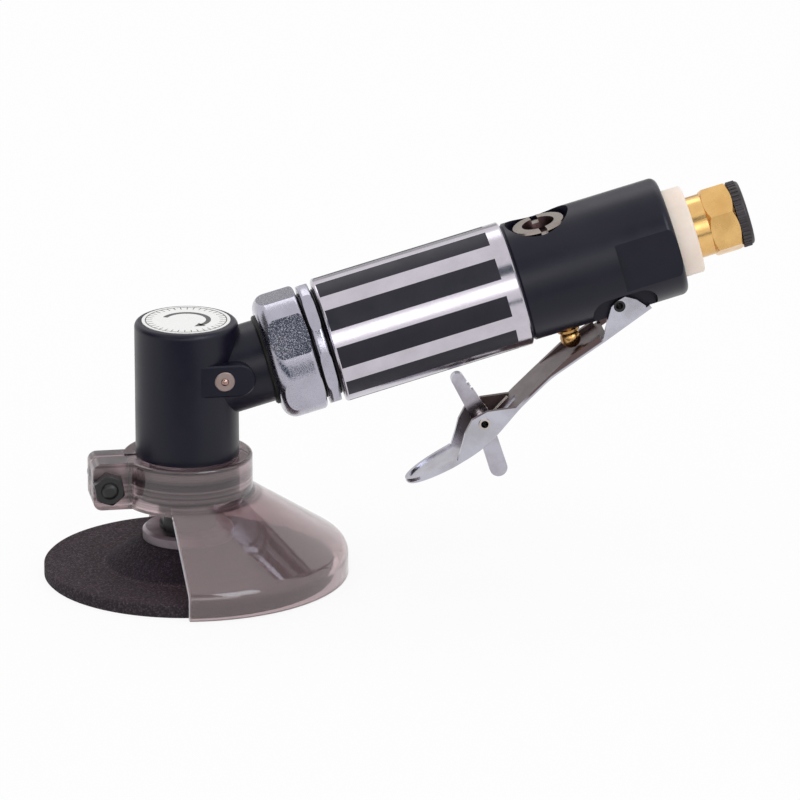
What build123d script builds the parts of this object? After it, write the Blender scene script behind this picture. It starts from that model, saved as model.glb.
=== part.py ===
"""Air angle grinder: a vane motor handle with a bevel-gear head, guard, wheel, lever and safety catch.

Millimetres, +Z up. The origin is on the spindle axis at the wheel's working face, and the handle
runs towards +X, tilted up. Stations along the handle are distances from the spindle axis.
"""

from build123d import *
from math import acos, atan2, ceil, cos, hypot, pi, radians, sin, sqrt, tan
import os

# Clearances
FIT = 0.02
RUNNING = 0.05
LOOSE = 0.3
BUTTON_GAP = 0.35

# Handle placement
HANDLE_TILT = 15.0
HANDLE_HEIGHT = 68.5

# Grinding wheel and its clamping
WHEEL_RADIUS = 50.0
WHEEL_THICKNESS = 4.6
WHEEL_BORE_RADIUS = 8.0
WHEEL_HUB_RADIUS = 16.6
WHEEL_HUB_RISE = 8.8
WHEEL_CONE_WIDTH = 12.6
WHEEL_EDGE = 0.5
FLANGE_RADIUS = 15.8
FLANGE_THICKNESS = 4.0
FLANGE_PILOT = 2.4
CLAMP_NUT_RADIUS = 12.5
CLAMP_NUT_THICKNESS = 5.6
CLAMP_NUT_HOLE_RADIUS = 1.8
CLAMP_NUT_HOLE_CIRCLE = 8.6
SPINDLE_STUB = 1.2

# Spindle
SPINDLE_THREAD_RADIUS = 5.0
SPINDLE_BOSS_RADIUS = 10.0
SPINDLE_NECK_RADIUS = 7.4
SPINDLE_SHAFT_RADIUS = 6.0
SPINDLE_JOURNAL_RADIUS = 4.0
SPINDLE_FLAT = 9.0
SPINDLE_FLAT_RISE = 1.5
SPINDLE_FLAT_HEIGHT = 5.0
NOSE_CLEARANCE = 0.7

# Spindle bearing and the steel nose that carries it
NOSE_BOTTOM = 30.0
NOSE_LIP = 2.0
NOSE_LIP_RADIUS = 10.8
NOSE_SPIGOT_RADIUS = 15.4
NOSE_SPIGOT_LENGTH = 6.0
NOSE_GROOVE_RISE = 7.6
SPINDLE_BEARING_RADIUS = 14.0
SPINDLE_BEARING_WIDTH = 8.0
CIRCLIP_THICKNESS = 1.2
CIRCLIP_DEPTH = 0.7
CIRCLIP_BAND = 2.2
CIRCLIP_OPENING = 5.0
ORING_WIRE = 0.9

# Angle head
HEAD_RADIUS = 17.9
HEAD_BOTTOM = 43.0
HEAD_RISE = 23.1
HEAD_RIM_ROUND = 2.0
HEAD_CAVITY_RADIUS = 14.8
HEAD_TOP_WALL = 10.2
NECK_RADIUS = 14.5
NECK_FLANGE_RADIUS = 17.2
NECK_FLANGE_THICKNESS = 3.4
UPPER_BUSH_RADIUS = 6.0
UPPER_BUSH_LENGTH = 7.0
LABEL_RADIUS = 15.3
LABEL_THICKNESS = 0.45
LABEL_SINK = 0.3
BOSS_FACE = 17.7
BOSS_HEIGHT = 11.3
BOSS_REACH = 21.8
BOSS_RISE = 5.8
OILER_REACH = 11.0
OILER_RADIUS = 3.5
OILER_DEPTH = 5.0
OILER_PROUD = 0.4
OILER_BALL_RADIUS = 1.55

# Bevel gears
PINION_TEETH = 12
GEAR_TEETH = 17
GEAR_MODULE = 1.5
PRESSURE_ANGLE = 20.0
TOOTH_ADDENDUM = 0.85
TOOTH_DEDENDUM = 1.25
TOOTH_BACKLASH = 0.30
TOOTH_FACE = 4.5
TOOTH_SINK = 0.4
FLANK_STEPS = 4
GEAR_HUB_RADIUS = 9.0
GEAR_BACK = 2.4
GEAR_NUT_ACROSS = 11.0
GEAR_NUT_THICKNESS = 3.0
GEAR_KEY_WIDTH = 3.0
GEAR_KEY_LENGTH = 8.0
PINION_BACK = 1.2
PINION_HUB_RADIUS = 5.8

# Rotor shaft and its bearings
PINION_SEAT_RADIUS = 3.5
PINION_BEARING_START = 16.5
PINION_BEARING_BORE = 4.0
PINION_BEARING_RADIUS = 11.0
PINION_BEARING_WIDTH = 7.0
ROTOR_SHAFT_RADIUS = 5.0
ROTOR_BEARING_RADIUS = 9.5
ROTOR_BEARING_WIDTH = 5.0
BEARING_RING = 0.32

# Stations and lengths along the handle
NUT_START = 29.1
NUT_LENGTH = 15.4
NUT_ACROSS = 41.5
NUT_TURNED_RADIUS = 22.0
NUT_FLAT_LIFT = 33.0
NUT_FRONT_ROUND = 5.0
NUT_REAR_ROUND = 1.6
NUT_LIP = 1.5
SEAL_RADIUS = 15.8
SEAL_LENGTH = 1.3
SEAL_ROUND = 0.5
LOCK_GAP = 1.1
LOCK_LENGTH = 3.9
LOCK_ACROSS = 41.8
LOCK_TURNED_RADIUS = 22.2
LOCK_ROUND = 1.2
LOCK_FLAT_LIFT = -10.0
SLEEVE_GAP = 1.6
SLEEVE_LENGTH = 67.6
SLEEVE_RADIUS = 22.0
SLEEVE_WALL = 4.5
SLEEVE_ROUND = 0.5
NOSE_THREAD_RADIUS = 18.4
NOSE_BORE_RADIUS = 12.0
STRIP_COUNT = 10
STRIP_WIDTH_ANGLE = 20.5
STRIP_DEPTH = 0.45
STRIP_SINK = 0.05
STRIP_REAR_MARGIN = 5.4
STRIP_FRONT_MARGIN = 0.9

# Vane motor
PLATE_START = 1.0
PLATE_WEB = 2.0
PLATE_RELIEF = 0.25
SPIGOT_LENGTH = 8.6
LINER_BORE_RADIUS = 15.0
LINER_OFFSET = 1.3
ROTOR_RADIUS = 13.4
ROTOR_END_GAP = 0.3
VANE_COUNT = 5
VANE_THICKNESS = 1.5
VANE_DEPTH = 5.5
VANE_SLACK = 0.1
PORT_RADIUS = 1.3
PORT_COUNT = 5
PLATE_PORT_ANGLES = (150.0, 180.0, 210.0)

# Valve housing
HOUSING_RADIUS = 20.9
HOUSING_LENGTH = 56.7
HOUSING_REAR_ROUND = 2.6
FRONT_RELIEF = 0.6
SPIGOT_BORE_RADIUS = 11.2
WRENCH_FLAT_DEPTH = 1.9
WRENCH_FLAT_LENGTH = 21.5
EXHAUST_RADIUS = 1.5
EXHAUST_CIRCLE = 13.2
EXHAUST_ANGLES = (40.0, -40.0)

# Cross bore with regulator and throttle valve
VALVE_STATION = 13.2
SPOT_RADIUS = 11.3
SPOT_DEPTH = 4.9
KNOB_RADIUS = 9.6
KNOB_THICKNESS = 2.5
KNOB_ROUND = 0.6
KNOB_WELL_RADIUS = 5.7
KNOB_WELL_DEPTH = 3.6
KNOB_WELL_FLOOR = 4.6
KNOB_SLOT = 2.4
KNOB_SLOT_DEPTH = 1.8
KNOB_SLOT_TURN = 5.0
BARREL_LENGTH = 7.0
BARREL_RING_WIRE = 0.8
CHAMBER_RADIUS = 7.5
SEAT_TOP = -5.0
SEAT_LENGTH = 5.6
SEAT_BORE_RADIUS = 4.2
GUIDE_LENGTH = 4.6
GUIDE_BORE_RADIUS = 2.65
VALVE_HEAD_RADIUS = 5.6
VALVE_HEAD_THICKNESS = 2.6
VALVE_STEM_RADIUS = 2.6
VALVE_BALL_RADIUS = 3.6
VALVE_COLLAR_RADIUS = 3.9
VALVE_COLLAR_LENGTH = 0.8
BUTTON_BORE_RADIUS = 4.2
LOWER_SPOT_RADIUS = 8.5
LOWER_SPOT_DEPTH = 1.6
INLET_PASSAGE_RADIUS = 4.4
FEED_PASSAGE_RADIUS = 2.4
VALVE_SPRING_RADIUS = 3.6
VALVE_SPRING_WIRE = 0.45
VALVE_SPRING_TURNS = 5

# Throttle lever, from its pivot: along the handle, then above the axis
PIVOT_STATION = 31.9
PIVOT_SINK = 4.6
LEVER_WIDTH = 18.4
LEVER_SHEET = 1.7
FOLD_RADIUS = 1.2
LEVER_RIM = 3.2
LEVER_CORNERS = (
    (10.7, -4.4),
    (-8.2, -11.2),
    (-29.5, -18.3),
    (-42.5, -25.3),
    (-53.0, -32.4),
    (-61.0, -36.4),
    (-70.0, -38.8),
    (-87.2, -42.4),
)
LEVER_BEND_RADIUS = 36.0
REAR_EAR = (
    (8.7, -2.5),
    (6.2, 0.6),
    (2.7, 2.8),
    (-0.4, 2.0),
    (-2.8, 0.6),
    (-4.9, -3.0),
    (-8.4, -9.5),
)
FRONT_EAR = (
    (-43.0, -24.6),
    (-46.2, -24.0),
    (-54.0, -22.7),
    (-59.8, -24.0),
    (-63.5, -28.0),
    (-65.5, -31.6),
    (-68.6, -36.6),
)
LEVER_WEB_END = -7.0
REAR_RIM_START = -31.0
REAR_RIM_FULL = -22.0
SPOON_LENGTH = 17.5
SPOON_RIM = 2.3
PIN_RADIUS = 2.0
PIN_BORE_RADIUS = 1.25
PIN_HEAD = 0.5
POCKET_FRONT = -10.0
POCKET_REAR = 13.2
POCKET_TOP = 6.4

# Safety catch, from its own pivot
CATCH_STATION = -56.1
CATCH_DROP = -26.6
CATCH_THICKNESS = 3.0
CATCH_LEFT = ((-6.5, 15.7), (-3.3, 0.0), (-2.5, -8.0))
CATCH_RIGHT = ((3.5, -8.0), (3.3, 0.0), (0.0, 11.0), (-1.9, 15.7))
CATCH_TIP = (-4.2, 15.7)
CATCH_TIP_RADIUS = 2.3
CATCH_END = (0.9, -19.6)
CATCH_END_RADIUS = 3.1
CATCH_NOTCHES = ((-1.0, 13.5), (-0.1, 11.3))
CATCH_NOTCH_RADIUS = 0.9
CATCH_SLOT_FRONT = -6.0
CATCH_SLOT_REAR = 13.2
CATCH_SLOT_TOP = 6.0
CATCH_SPRING_RADIUS = 3.0
CATCH_SPRING_WIRE = 0.4
CATCH_SPRING_PITCH = 1.25
CATCH_SPRING_TURNS = 2.5
CATCH_SPRING_LEG = 11.0
CATCH_SPRING_TURN = 58.0

# Inlet end
MUFFLER_RADIUS = 15.45
MUFFLER_LENGTH = 7.3
MUFFLER_ROUND = 0.9
INLET_NECK_RADIUS = 10.85
INLET_NECK_LENGTH = 5.2
INLET_HEX_ACROSS = 22.1
INLET_HEX_LENGTH = 10.3
INLET_HEX_CHAMFER = 1.3
INLET_HEX_FACE = 10.95
INLET_FLAT_LIFT = -4.0
INLET_SHANK_RADIUS = 9.0
INLET_SHANK_LENGTH = 14.0
INLET_THREAD_RADIUS = 5.7
INLET_THREAD_LENGTH = 15.0
SCREEN_THICKNESS = 1.2
SCREEN_HOLE_RADIUS = 1.1
SCREEN_HOLE_CIRCLE = 2.9
PLUG_CAP_RADIUS = 11.3
PLUG_CAP_LENGTH = 4.0
PLUG_CAP_ROUND = 1.2
PLUG_STEM_RADIUS = 7.4
PLUG_STEM_LENGTH = 2.0
PLUG_RIB_COUNT = 40
PLUG_RIB_RADIUS = 0.4

# Wheel guard
COLLAR_RADIUS = 22.5
COLLAR_BOTTOM = 27.2
COLLAR_TOP = 43.9
GUARD_WALL = 2.0
GUARD_CLEARANCE = 3.3
GUARD_BOTTOM = 0.6
GUARD_SHOULDER = 9.6
GUARD_SHOULDER_ROUND = 5.0
GUARD_CONE_TOP = 31.2
GUARD_CUT = -9.8
GUARD_FLARE = 3.2
LUG_REACH = 34.0
LUG_HALF_WIDTH = 9.2
LUG_BACK_WIDTH = 6.4
LUG_ROUND = 3.0
SLIT = 2.0
CLAMP_SCREW_RADIUS = 3.0
CLAMP_HOLE_SLACK = 0.1
CLAMP_SCREW_REACH = 28.8
CLAMP_NUT_ACROSS = 9.8
CLAMP_NUT_HEIGHT = 4.6
CLAMP_NUT_TURN = 20.0
CLAMP_SCREW_END = 1.6
CLAMP_HEAD_RADIUS = 5.0
CLAMP_HEAD_HEIGHT = 5.0

# Derived frames and stations
TILT = radians(HANDLE_TILT)
ALONG = Vector(cos(TILT), 0, sin(TILT))
ABOVE = Vector(-sin(TILT), 0, cos(TILT))
CROSSING = Vector(0, 0, HANDLE_HEIGHT)
HANDLE = Plane(origin=CROSSING, x_dir=ABOVE, z_dir=ALONG)
SIDE = Plane(origin=CROSSING, x_dir=ALONG, z_dir=(0, -1, 0))
PLAN = Plane(origin=CROSSING, x_dir=ALONG, z_dir=ABOVE)

HEAD_TOP = HANDLE_HEIGHT + HEAD_RISE
BOSS_CENTRE = HANDLE_HEIGHT + BOSS_RISE
GUARD_RADIUS = WHEEL_RADIUS + GUARD_CLEARANCE + GUARD_WALL
WHEEL_TOP = WHEEL_THICKNESS + WHEEL_HUB_RISE
FLANGE_TOP = WHEEL_TOP + FLANGE_THICKNESS
NUT_END = NUT_START + NUT_LENGTH
LOCK_START = NUT_END + LOCK_GAP
LOCK_END = LOCK_START + LOCK_LENGTH
SLEEVE_START = LOCK_END + SLEEVE_GAP
SLEEVE_END = SLEEVE_START + SLEEVE_LENGTH
HOUSING_END = SLEEVE_END + HOUSING_LENGTH
MUFFLER_END = HOUSING_END + MUFFLER_LENGTH
HEX_START = MUFFLER_END + INLET_NECK_LENGTH
HEX_END = HEX_START + INLET_HEX_LENGTH
NECK_END = NUT_START + NUT_LIP + NECK_FLANGE_THICKNESS
SLEEVE_BORE = SLEEVE_RADIUS - SLEEVE_WALL
FRONT_PLATE = SLEEVE_START + PLATE_START
LINER_START = FRONT_PLATE + ROTOR_BEARING_WIDTH + PLATE_WEB
REAR_PLATE_END = SLEEVE_END - SPIGOT_LENGTH
LINER_END = REAR_PLATE_END - ROTOR_BEARING_WIDTH - PLATE_WEB
LINER_LENGTH = LINER_END - LINER_START
REAR_BEARING = LINER_END + PLATE_WEB
SPOT_HEIGHT = HOUSING_RADIUS - SPOT_DEPTH
VALVE_S = SLEEVE_END + VALVE_STATION
PIVOT_S = SLEEVE_END + PIVOT_STATION
PIVOT_H = PIVOT_SINK - HOUSING_RADIUS
TONGUE_HALF_WIDTH = LEVER_WIDTH / 2 - LEVER_SHEET - LOOSE
CATCH_S = PIVOT_S + CATCH_STATION
CATCH_H = PIVOT_H + CATCH_DROP
VALVE = Plane(origin=CROSSING + ALONG * VALVE_S, x_dir=ALONG, z_dir=ABOVE)
BEARING_TOP = NOSE_BOTTOM + NOSE_LIP + SPINDLE_BEARING_WIDTH
PINION_BEARING_END = PINION_BEARING_START + PINION_BEARING_WIDTH
COLLAR_MIDDLE = (COLLAR_TOP + COLLAR_BOTTOM) / 2
CLAMP_PLACE = (-CLAMP_SCREW_REACH, 0, COLLAR_MIDDLE)
CLAMP_FRAME = Plane(origin=CLAMP_PLACE, x_dir=(1, 0, 0), z_dir=(0, -1, 0))
OILER_FLOOR = (OILER_REACH, OILER_DEPTH - BOSS_FACE, BOSS_CENTRE)
OILER_FRAME = Plane(origin=OILER_FLOOR, x_dir=(1, 0, 0), z_dir=(0, -1, 0))

# Bevel gear geometry
SHAFT_ANGLE = radians(90 + HANDLE_TILT)
PINION_ANGLE = atan2(sin(SHAFT_ANGLE), GEAR_TEETH / PINION_TEETH + cos(SHAFT_ANGLE))
GEAR_ANGLE = SHAFT_ANGLE - PINION_ANGLE
CONE_DISTANCE = GEAR_MODULE * PINION_TEETH / 2 / sin(PINION_ANGLE)
TOE_SHARE = (CONE_DISTANCE - TOOTH_FACE) / CONE_DISTANCE


def turned(*points):
    """A solid of revolution about the local Z axis, from (radius, height) corners."""
    return revolve(Plane.XZ * make_face(Polyline(*points, close=True)), Axis.Z)


def ring(inner, outer, start, end):
    """A plain ring between two heights."""
    return turned((inner, start), (outer, start), (outer, end), (inner, end))


def rod(radius, start, end):
    """A plain cylinder between two heights."""
    foot = (Align.CENTER, Align.CENTER, Align.MIN)
    return Pos(0, 0, start) * Cylinder(radius, end - start, align=foot)


def hexagon(across, start, end, lift=0.0):
    """A hexagonal prism; one flat's middle is lifted from local +Y towards local +X by an angle."""
    outline = Rot(0, 0, -lift) * RegularPolygon(across / 2, 6, major_radius=False)
    return Pos(0, 0, start) * extrude(outline, end - start)


def cross_rod(radius, station, height, half_length):
    """A cylinder across the handle, along Y, at a place in its side view."""
    return extrude(SIDE * Pos(station, height) * Circle(radius), half_length, both=True)


def side_prism(outline, width):
    """A side-view outline made as thick as width, centred on the handle's mid-plane."""
    return extrude(SIDE * outline, width / 2, both=True)


def polygon(*points):
    """A flat face from its corners."""
    return make_face(Polyline(*points, close=True))


def side_box(front, rear, bottom, top):
    """A side-view rectangle between two stations and two heights."""
    return polygon((front, bottom), (rear, bottom), (rear, top), (front, top))


def round_edges(solid, radius, heights):
    """Rounds the circular edges of a turned solid at the given heights."""
    circles = solid.edges().filter_by(GeomType.CIRCLE)
    edges = [edge for edge in circles if any(abs(edge.center().Z - z) < 1e-4 for z in heights)]
    return fillet(edges, radius)


# Wheel and spindle


def make_grinding_wheel():
    """A depressed-centre wheel of even thickness, with its raised hub on top."""
    foot = WHEEL_HUB_RADIUS + WHEEL_CONE_WIDTH
    slope = WHEEL_HUB_RISE / WHEEL_CONE_WIDTH
    shift = WHEEL_THICKNESS * (hypot(1, slope) - 1) / slope
    return turned(
        (WHEEL_BORE_RADIUS, WHEEL_HUB_RISE),
        (WHEEL_HUB_RADIUS - shift, WHEEL_HUB_RISE),
        (foot - shift, 0),
        (WHEEL_RADIUS - WHEEL_EDGE, 0),
        (WHEEL_RADIUS, WHEEL_EDGE),
        (WHEEL_RADIUS, WHEEL_THICKNESS - WHEEL_EDGE),
        (WHEEL_RADIUS - WHEEL_EDGE, WHEEL_THICKNESS),
        (foot, WHEEL_THICKNESS),
        (WHEEL_HUB_RADIUS, WHEEL_TOP),
        (WHEEL_BORE_RADIUS, WHEEL_TOP),
    )


def make_inner_flange():
    """The flange above the wheel, with a pilot that centres the wheel's bore."""
    bore = SPINDLE_THREAD_RADIUS + FIT
    pilot = WHEEL_BORE_RADIUS - RUNNING
    return turned(
        (bore, WHEEL_TOP - FLANGE_PILOT),
        (pilot, WHEEL_TOP - FLANGE_PILOT),
        (pilot, WHEEL_TOP),
        (FLANGE_RADIUS, WHEEL_TOP),
        (FLANGE_RADIUS, FLANGE_TOP - 1),
        (FLANGE_RADIUS - 1, FLANGE_TOP),
        (bore, FLANGE_TOP),
    )


def make_clamp_nut():
    """The round nut below the wheel, with two holes for a pin spanner."""
    bottom = WHEEL_HUB_RISE - CLAMP_NUT_THICKNESS
    nut = turned(
        (SPINDLE_THREAD_RADIUS + FIT, bottom),
        (CLAMP_NUT_RADIUS - 1.5, bottom),
        (CLAMP_NUT_RADIUS, bottom + 1.5),
        (CLAMP_NUT_RADIUS, WHEEL_HUB_RISE),
        (SPINDLE_THREAD_RADIUS + FIT, WHEEL_HUB_RISE),
    )
    holes = [
        Pos(side * CLAMP_NUT_HOLE_CIRCLE, 0, 0) * rod(CLAMP_NUT_HOLE_RADIUS, bottom, WHEEL_HUB_RISE - 1)
        for side in (-1, 1)
    ]
    return nut - holes


GEAR_FRONT = HANDLE_HEIGHT - TOE_SHARE * (
    CONE_DISTANCE * cos(GEAR_ANGLE) + TOOTH_DEDENDUM * GEAR_MODULE * sin(GEAR_ANGLE)
)
GEAR_SEAT = GEAR_FRONT - TOOTH_SINK
BUSH_START = HEAD_TOP - HEAD_TOP_WALL


def make_spindle():
    """The stepped spindle: threaded stub, boss, bearing seat, gear seat and upper journal."""
    bottom = WHEEL_HUB_RISE - CLAMP_NUT_THICKNESS - SPINDLE_STUB
    boss_top = NOSE_BOTTOM - NOSE_CLEARANCE
    nut_top = GEAR_SEAT + GEAR_NUT_THICKNESS + 0.6
    shaft = turned(
        (0, bottom),
        (SPINDLE_THREAD_RADIUS, bottom),
        (SPINDLE_THREAD_RADIUS, FLANGE_TOP),
        (SPINDLE_BOSS_RADIUS, FLANGE_TOP),
        (SPINDLE_BOSS_RADIUS, boss_top),
        (SPINDLE_NECK_RADIUS, boss_top),
        (SPINDLE_NECK_RADIUS, NOSE_BOTTOM + NOSE_LIP),
        (SPINDLE_SHAFT_RADIUS, NOSE_BOTTOM + NOSE_LIP),
        (SPINDLE_SHAFT_RADIUS, GEAR_SEAT),
        (SPINDLE_THREAD_RADIUS, GEAR_SEAT),
        (SPINDLE_THREAD_RADIUS, nut_top),
        (SPINDLE_JOURNAL_RADIUS, nut_top),
        (SPINDLE_JOURNAL_RADIUS, BUSH_START + UPPER_BUSH_LENGTH - 0.6),
        (0, BUSH_START + UPPER_BUSH_LENGTH - 0.6),
    )
    flat_middle = FLANGE_TOP + SPINDLE_FLAT_RISE + SPINDLE_FLAT_HEIGHT / 2
    flat = Box(SPINDLE_BOSS_RADIUS, 2 * SPINDLE_BOSS_RADIUS, SPINDLE_FLAT_HEIGHT)
    reach = SPINDLE_FLAT + SPINDLE_BOSS_RADIUS / 2
    flats = [Pos(side * reach, 0, flat_middle) * flat for side in (-1, 1)]
    return shaft - flats - key_slot(FIT)


def key_slot(clearance):
    """The key between spindle and gear hub, grown by a clearance."""
    start = BEARING_TOP + GEAR_KEY_LENGTH / 2
    width = GEAR_KEY_WIDTH + 2 * clearance
    inner = SPINDLE_SHAFT_RADIUS - GEAR_KEY_WIDTH / 2 - clearance
    outer = SPINDLE_SHAFT_RADIUS + GEAR_KEY_WIDTH / 2 + clearance
    block = Box(outer - inner, width, GEAR_KEY_LENGTH + 2 * clearance)
    return Pos((inner + outer) / 2, 0, start + GEAR_KEY_LENGTH / 2) * block


def make_gear_key():
    """The square key that turns the bevel gear with the spindle."""
    return key_slot(0)


def make_gear_nut():
    """The hexagon nut that holds the bevel gear down on the spindle."""
    nut = hexagon(GEAR_NUT_ACROSS, GEAR_SEAT, GEAR_SEAT + GEAR_NUT_THICKNESS)
    return nut - rod(SPINDLE_THREAD_RADIUS + FIT, GEAR_SEAT, GEAR_SEAT + GEAR_NUT_THICKNESS)


# Bevel gears


def involute(angle):
    """The involute function of a pressure angle."""
    return tan(angle) - angle


def tooth_outline(teeth, cone_angle):
    """One tooth's corners on its flattened back cone: (across, outwards from the pitch line)."""
    pitch_radius = GEAR_MODULE * teeth / 2 / cos(cone_angle)
    pressure = radians(PRESSURE_ANGLE)
    base = pitch_radius * cos(pressure)
    tip = pitch_radius + TOOTH_ADDENDUM * GEAR_MODULE
    root = pitch_radius - TOOTH_DEDENDUM * GEAR_MODULE
    half_angle = (pi * GEAR_MODULE / 2 - TOOTH_BACKLASH) / 2 / pitch_radius
    start = max(base, root)
    flank = []
    for step in range(FLANK_STEPS + 1):
        radius = start + (tip - start) * step / FLANK_STEPS
        angle = half_angle + involute(pressure) - involute(acos(base / radius))
        flank.append((radius * sin(angle), radius * cos(angle) - pitch_radius))
    foot = (flank[0][0], root - TOOTH_SINK - pitch_radius)
    right = [foot] + flank
    return right + [(-across, outwards) for across, outwards in reversed(right)]


def bevel_teeth(teeth, cone_angle, phase):
    """All the teeth of a bevel gear whose apex is the origin and whose axis is +Z."""
    outline = tooth_outline(teeth, cone_angle)
    pitch = Vector(CONE_DISTANCE * sin(cone_angle), 0, CONE_DISTANCE * cos(cone_angle))
    outwards = Vector(cos(cone_angle), 0, -sin(cone_angle))
    heel = [pitch + outwards * y + Vector(0, x, 0) for x, y in outline]
    toe = [point * TOE_SHARE for point in heel]
    tooth = loft([polygon(*heel), polygon(*toe)], ruled=True)
    return [Rot(0, 0, (index + phase) * 360 / teeth) * tooth for index in range(teeth)]


def root_corners(cone_angle):
    """The toe and heel corners of a gear's root cone, as (radius, distance from the apex)."""
    sink = TOOTH_DEDENDUM * GEAR_MODULE
    heel = (
        CONE_DISTANCE * sin(cone_angle) - sink * cos(cone_angle),
        CONE_DISTANCE * cos(cone_angle) + sink * sin(cone_angle),
    )
    return (heel[0] * TOE_SHARE, heel[1] * TOE_SHARE), heel


GEAR_FRAME = Plane(origin=CROSSING, x_dir=(1, 0, 0), z_dir=(0, 0, -1))
PINION_FRAME = Plane(origin=CROSSING, x_dir=-ABOVE, z_dir=ALONG)


def make_bevel_gear():
    """The spindle's bevel gear, with teeth facing up to the pinion and a hub down to the bearing."""
    toe, heel = root_corners(GEAR_ANGLE)
    bore = SPINDLE_SHAFT_RADIUS + FIT
    hub_end = HANDLE_HEIGHT - BEARING_TOP
    blank = turned(
        (bore, toe[1] + TOOTH_SINK),
        (toe[0] - TOOTH_SINK, toe[1] + TOOTH_SINK),
        toe,
        heel,
        (heel[0], heel[1] + GEAR_BACK),
        (GEAR_HUB_RADIUS, heel[1] + GEAR_BACK),
        (GEAR_HUB_RADIUS, hub_end),
        (bore, hub_end),
    )
    gear = blank + bevel_teeth(GEAR_TEETH, GEAR_ANGLE, 0.5)
    return GEAR_FRAME * gear - key_slot(FIT)


def make_bevel_pinion():
    """The pinion pressed on the front of the rotor shaft."""
    toe, heel = root_corners(PINION_ANGLE)
    bore = PINION_SEAT_RADIUS + FIT
    blank = turned(
        (bore, toe[1] + TOOTH_SINK),
        (toe[0] - TOOTH_SINK, toe[1] + TOOTH_SINK),
        toe,
        heel,
        (heel[0], heel[1] + PINION_BACK),
        (PINION_HUB_RADIUS, heel[1] + PINION_BACK),
        (PINION_HUB_RADIUS, PINION_BEARING_START),
        (bore, PINION_BEARING_START),
    )
    return PINION_FRAME * (blank + bevel_teeth(PINION_TEETH, PINION_ANGLE, 0))


# Bearings


def bearing_rings(bore, outer, start, width):
    """The outer and inner rings of a shielded ball bearing; the shields leave a running gap."""
    section = outer - bore
    inner_land = bore + section * BEARING_RING
    shield = inner_land + LOOSE
    outer_land = outer - section * BEARING_RING
    rim = width * 0.12
    end = start + width
    outer_ring = turned(
        (shield, start),
        (outer - FIT, start),
        (outer - FIT, end),
        (shield, end),
        (shield, end - rim),
        (outer_land, end - rim),
        (outer_land, start + rim),
        (shield, start + rim),
    )
    inner_ring = ring(bore + FIT, inner_land, start, end)
    return outer_ring, inner_ring


# Angle head


def make_head_nose():
    """The steel nose screwed into the head: it carries the spindle bearing and the guard's collar."""
    spigot_top = HEAD_BOTTOM + NOSE_SPIGOT_LENGTH
    groove = NOSE_BOTTOM + NOSE_GROOVE_RISE
    nose = turned(
        (NOSE_LIP_RADIUS, NOSE_BOTTOM),
        (HEAD_RADIUS - 0.8, NOSE_BOTTOM),
        (HEAD_RADIUS, NOSE_BOTTOM + 0.8),
        (HEAD_RADIUS, groove - ORING_WIRE),
        (HEAD_RADIUS - 2 * ORING_WIRE, groove - ORING_WIRE),
        (HEAD_RADIUS - 2 * ORING_WIRE, groove + ORING_WIRE),
        (HEAD_RADIUS, groove + ORING_WIRE),
        (HEAD_RADIUS, HEAD_BOTTOM),
        (NOSE_SPIGOT_RADIUS, HEAD_BOTTOM),
        (NOSE_SPIGOT_RADIUS, spigot_top),
        (SPINDLE_BEARING_RADIUS, spigot_top),
        (SPINDLE_BEARING_RADIUS, BEARING_TOP + CIRCLIP_THICKNESS),
        (SPINDLE_BEARING_RADIUS + CIRCLIP_DEPTH, BEARING_TOP + CIRCLIP_THICKNESS),
        (SPINDLE_BEARING_RADIUS + CIRCLIP_DEPTH, BEARING_TOP),
        (SPINDLE_BEARING_RADIUS, BEARING_TOP),
        (SPINDLE_BEARING_RADIUS, NOSE_BOTTOM + NOSE_LIP),
        (NOSE_LIP_RADIUS, NOSE_BOTTOM + NOSE_LIP),
    )
    return nose


def circlip(bore_radius, start):
    """An internal circlip in a bore's groove, open at one side."""
    outer = bore_radius + CIRCLIP_DEPTH - FIT
    clip = ring(bore_radius - CIRCLIP_BAND, outer, start, start + CIRCLIP_THICKNESS)
    opening = Box(3 * CIRCLIP_BAND, CIRCLIP_OPENING, 2 * CIRCLIP_THICKNESS)
    return clip - Pos(bore_radius, 0, start + CIRCLIP_THICKNESS / 2) * opening


def make_nose_oring():
    """The ring in the nose's groove, flush with the nose, that keeps grease out of the collar."""
    height = NOSE_BOTTOM + NOSE_GROOVE_RISE
    return Pos(0, 0, height) * Torus(HEAD_RADIUS - ORING_WIRE - FIT, ORING_WIRE - FIT)


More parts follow.
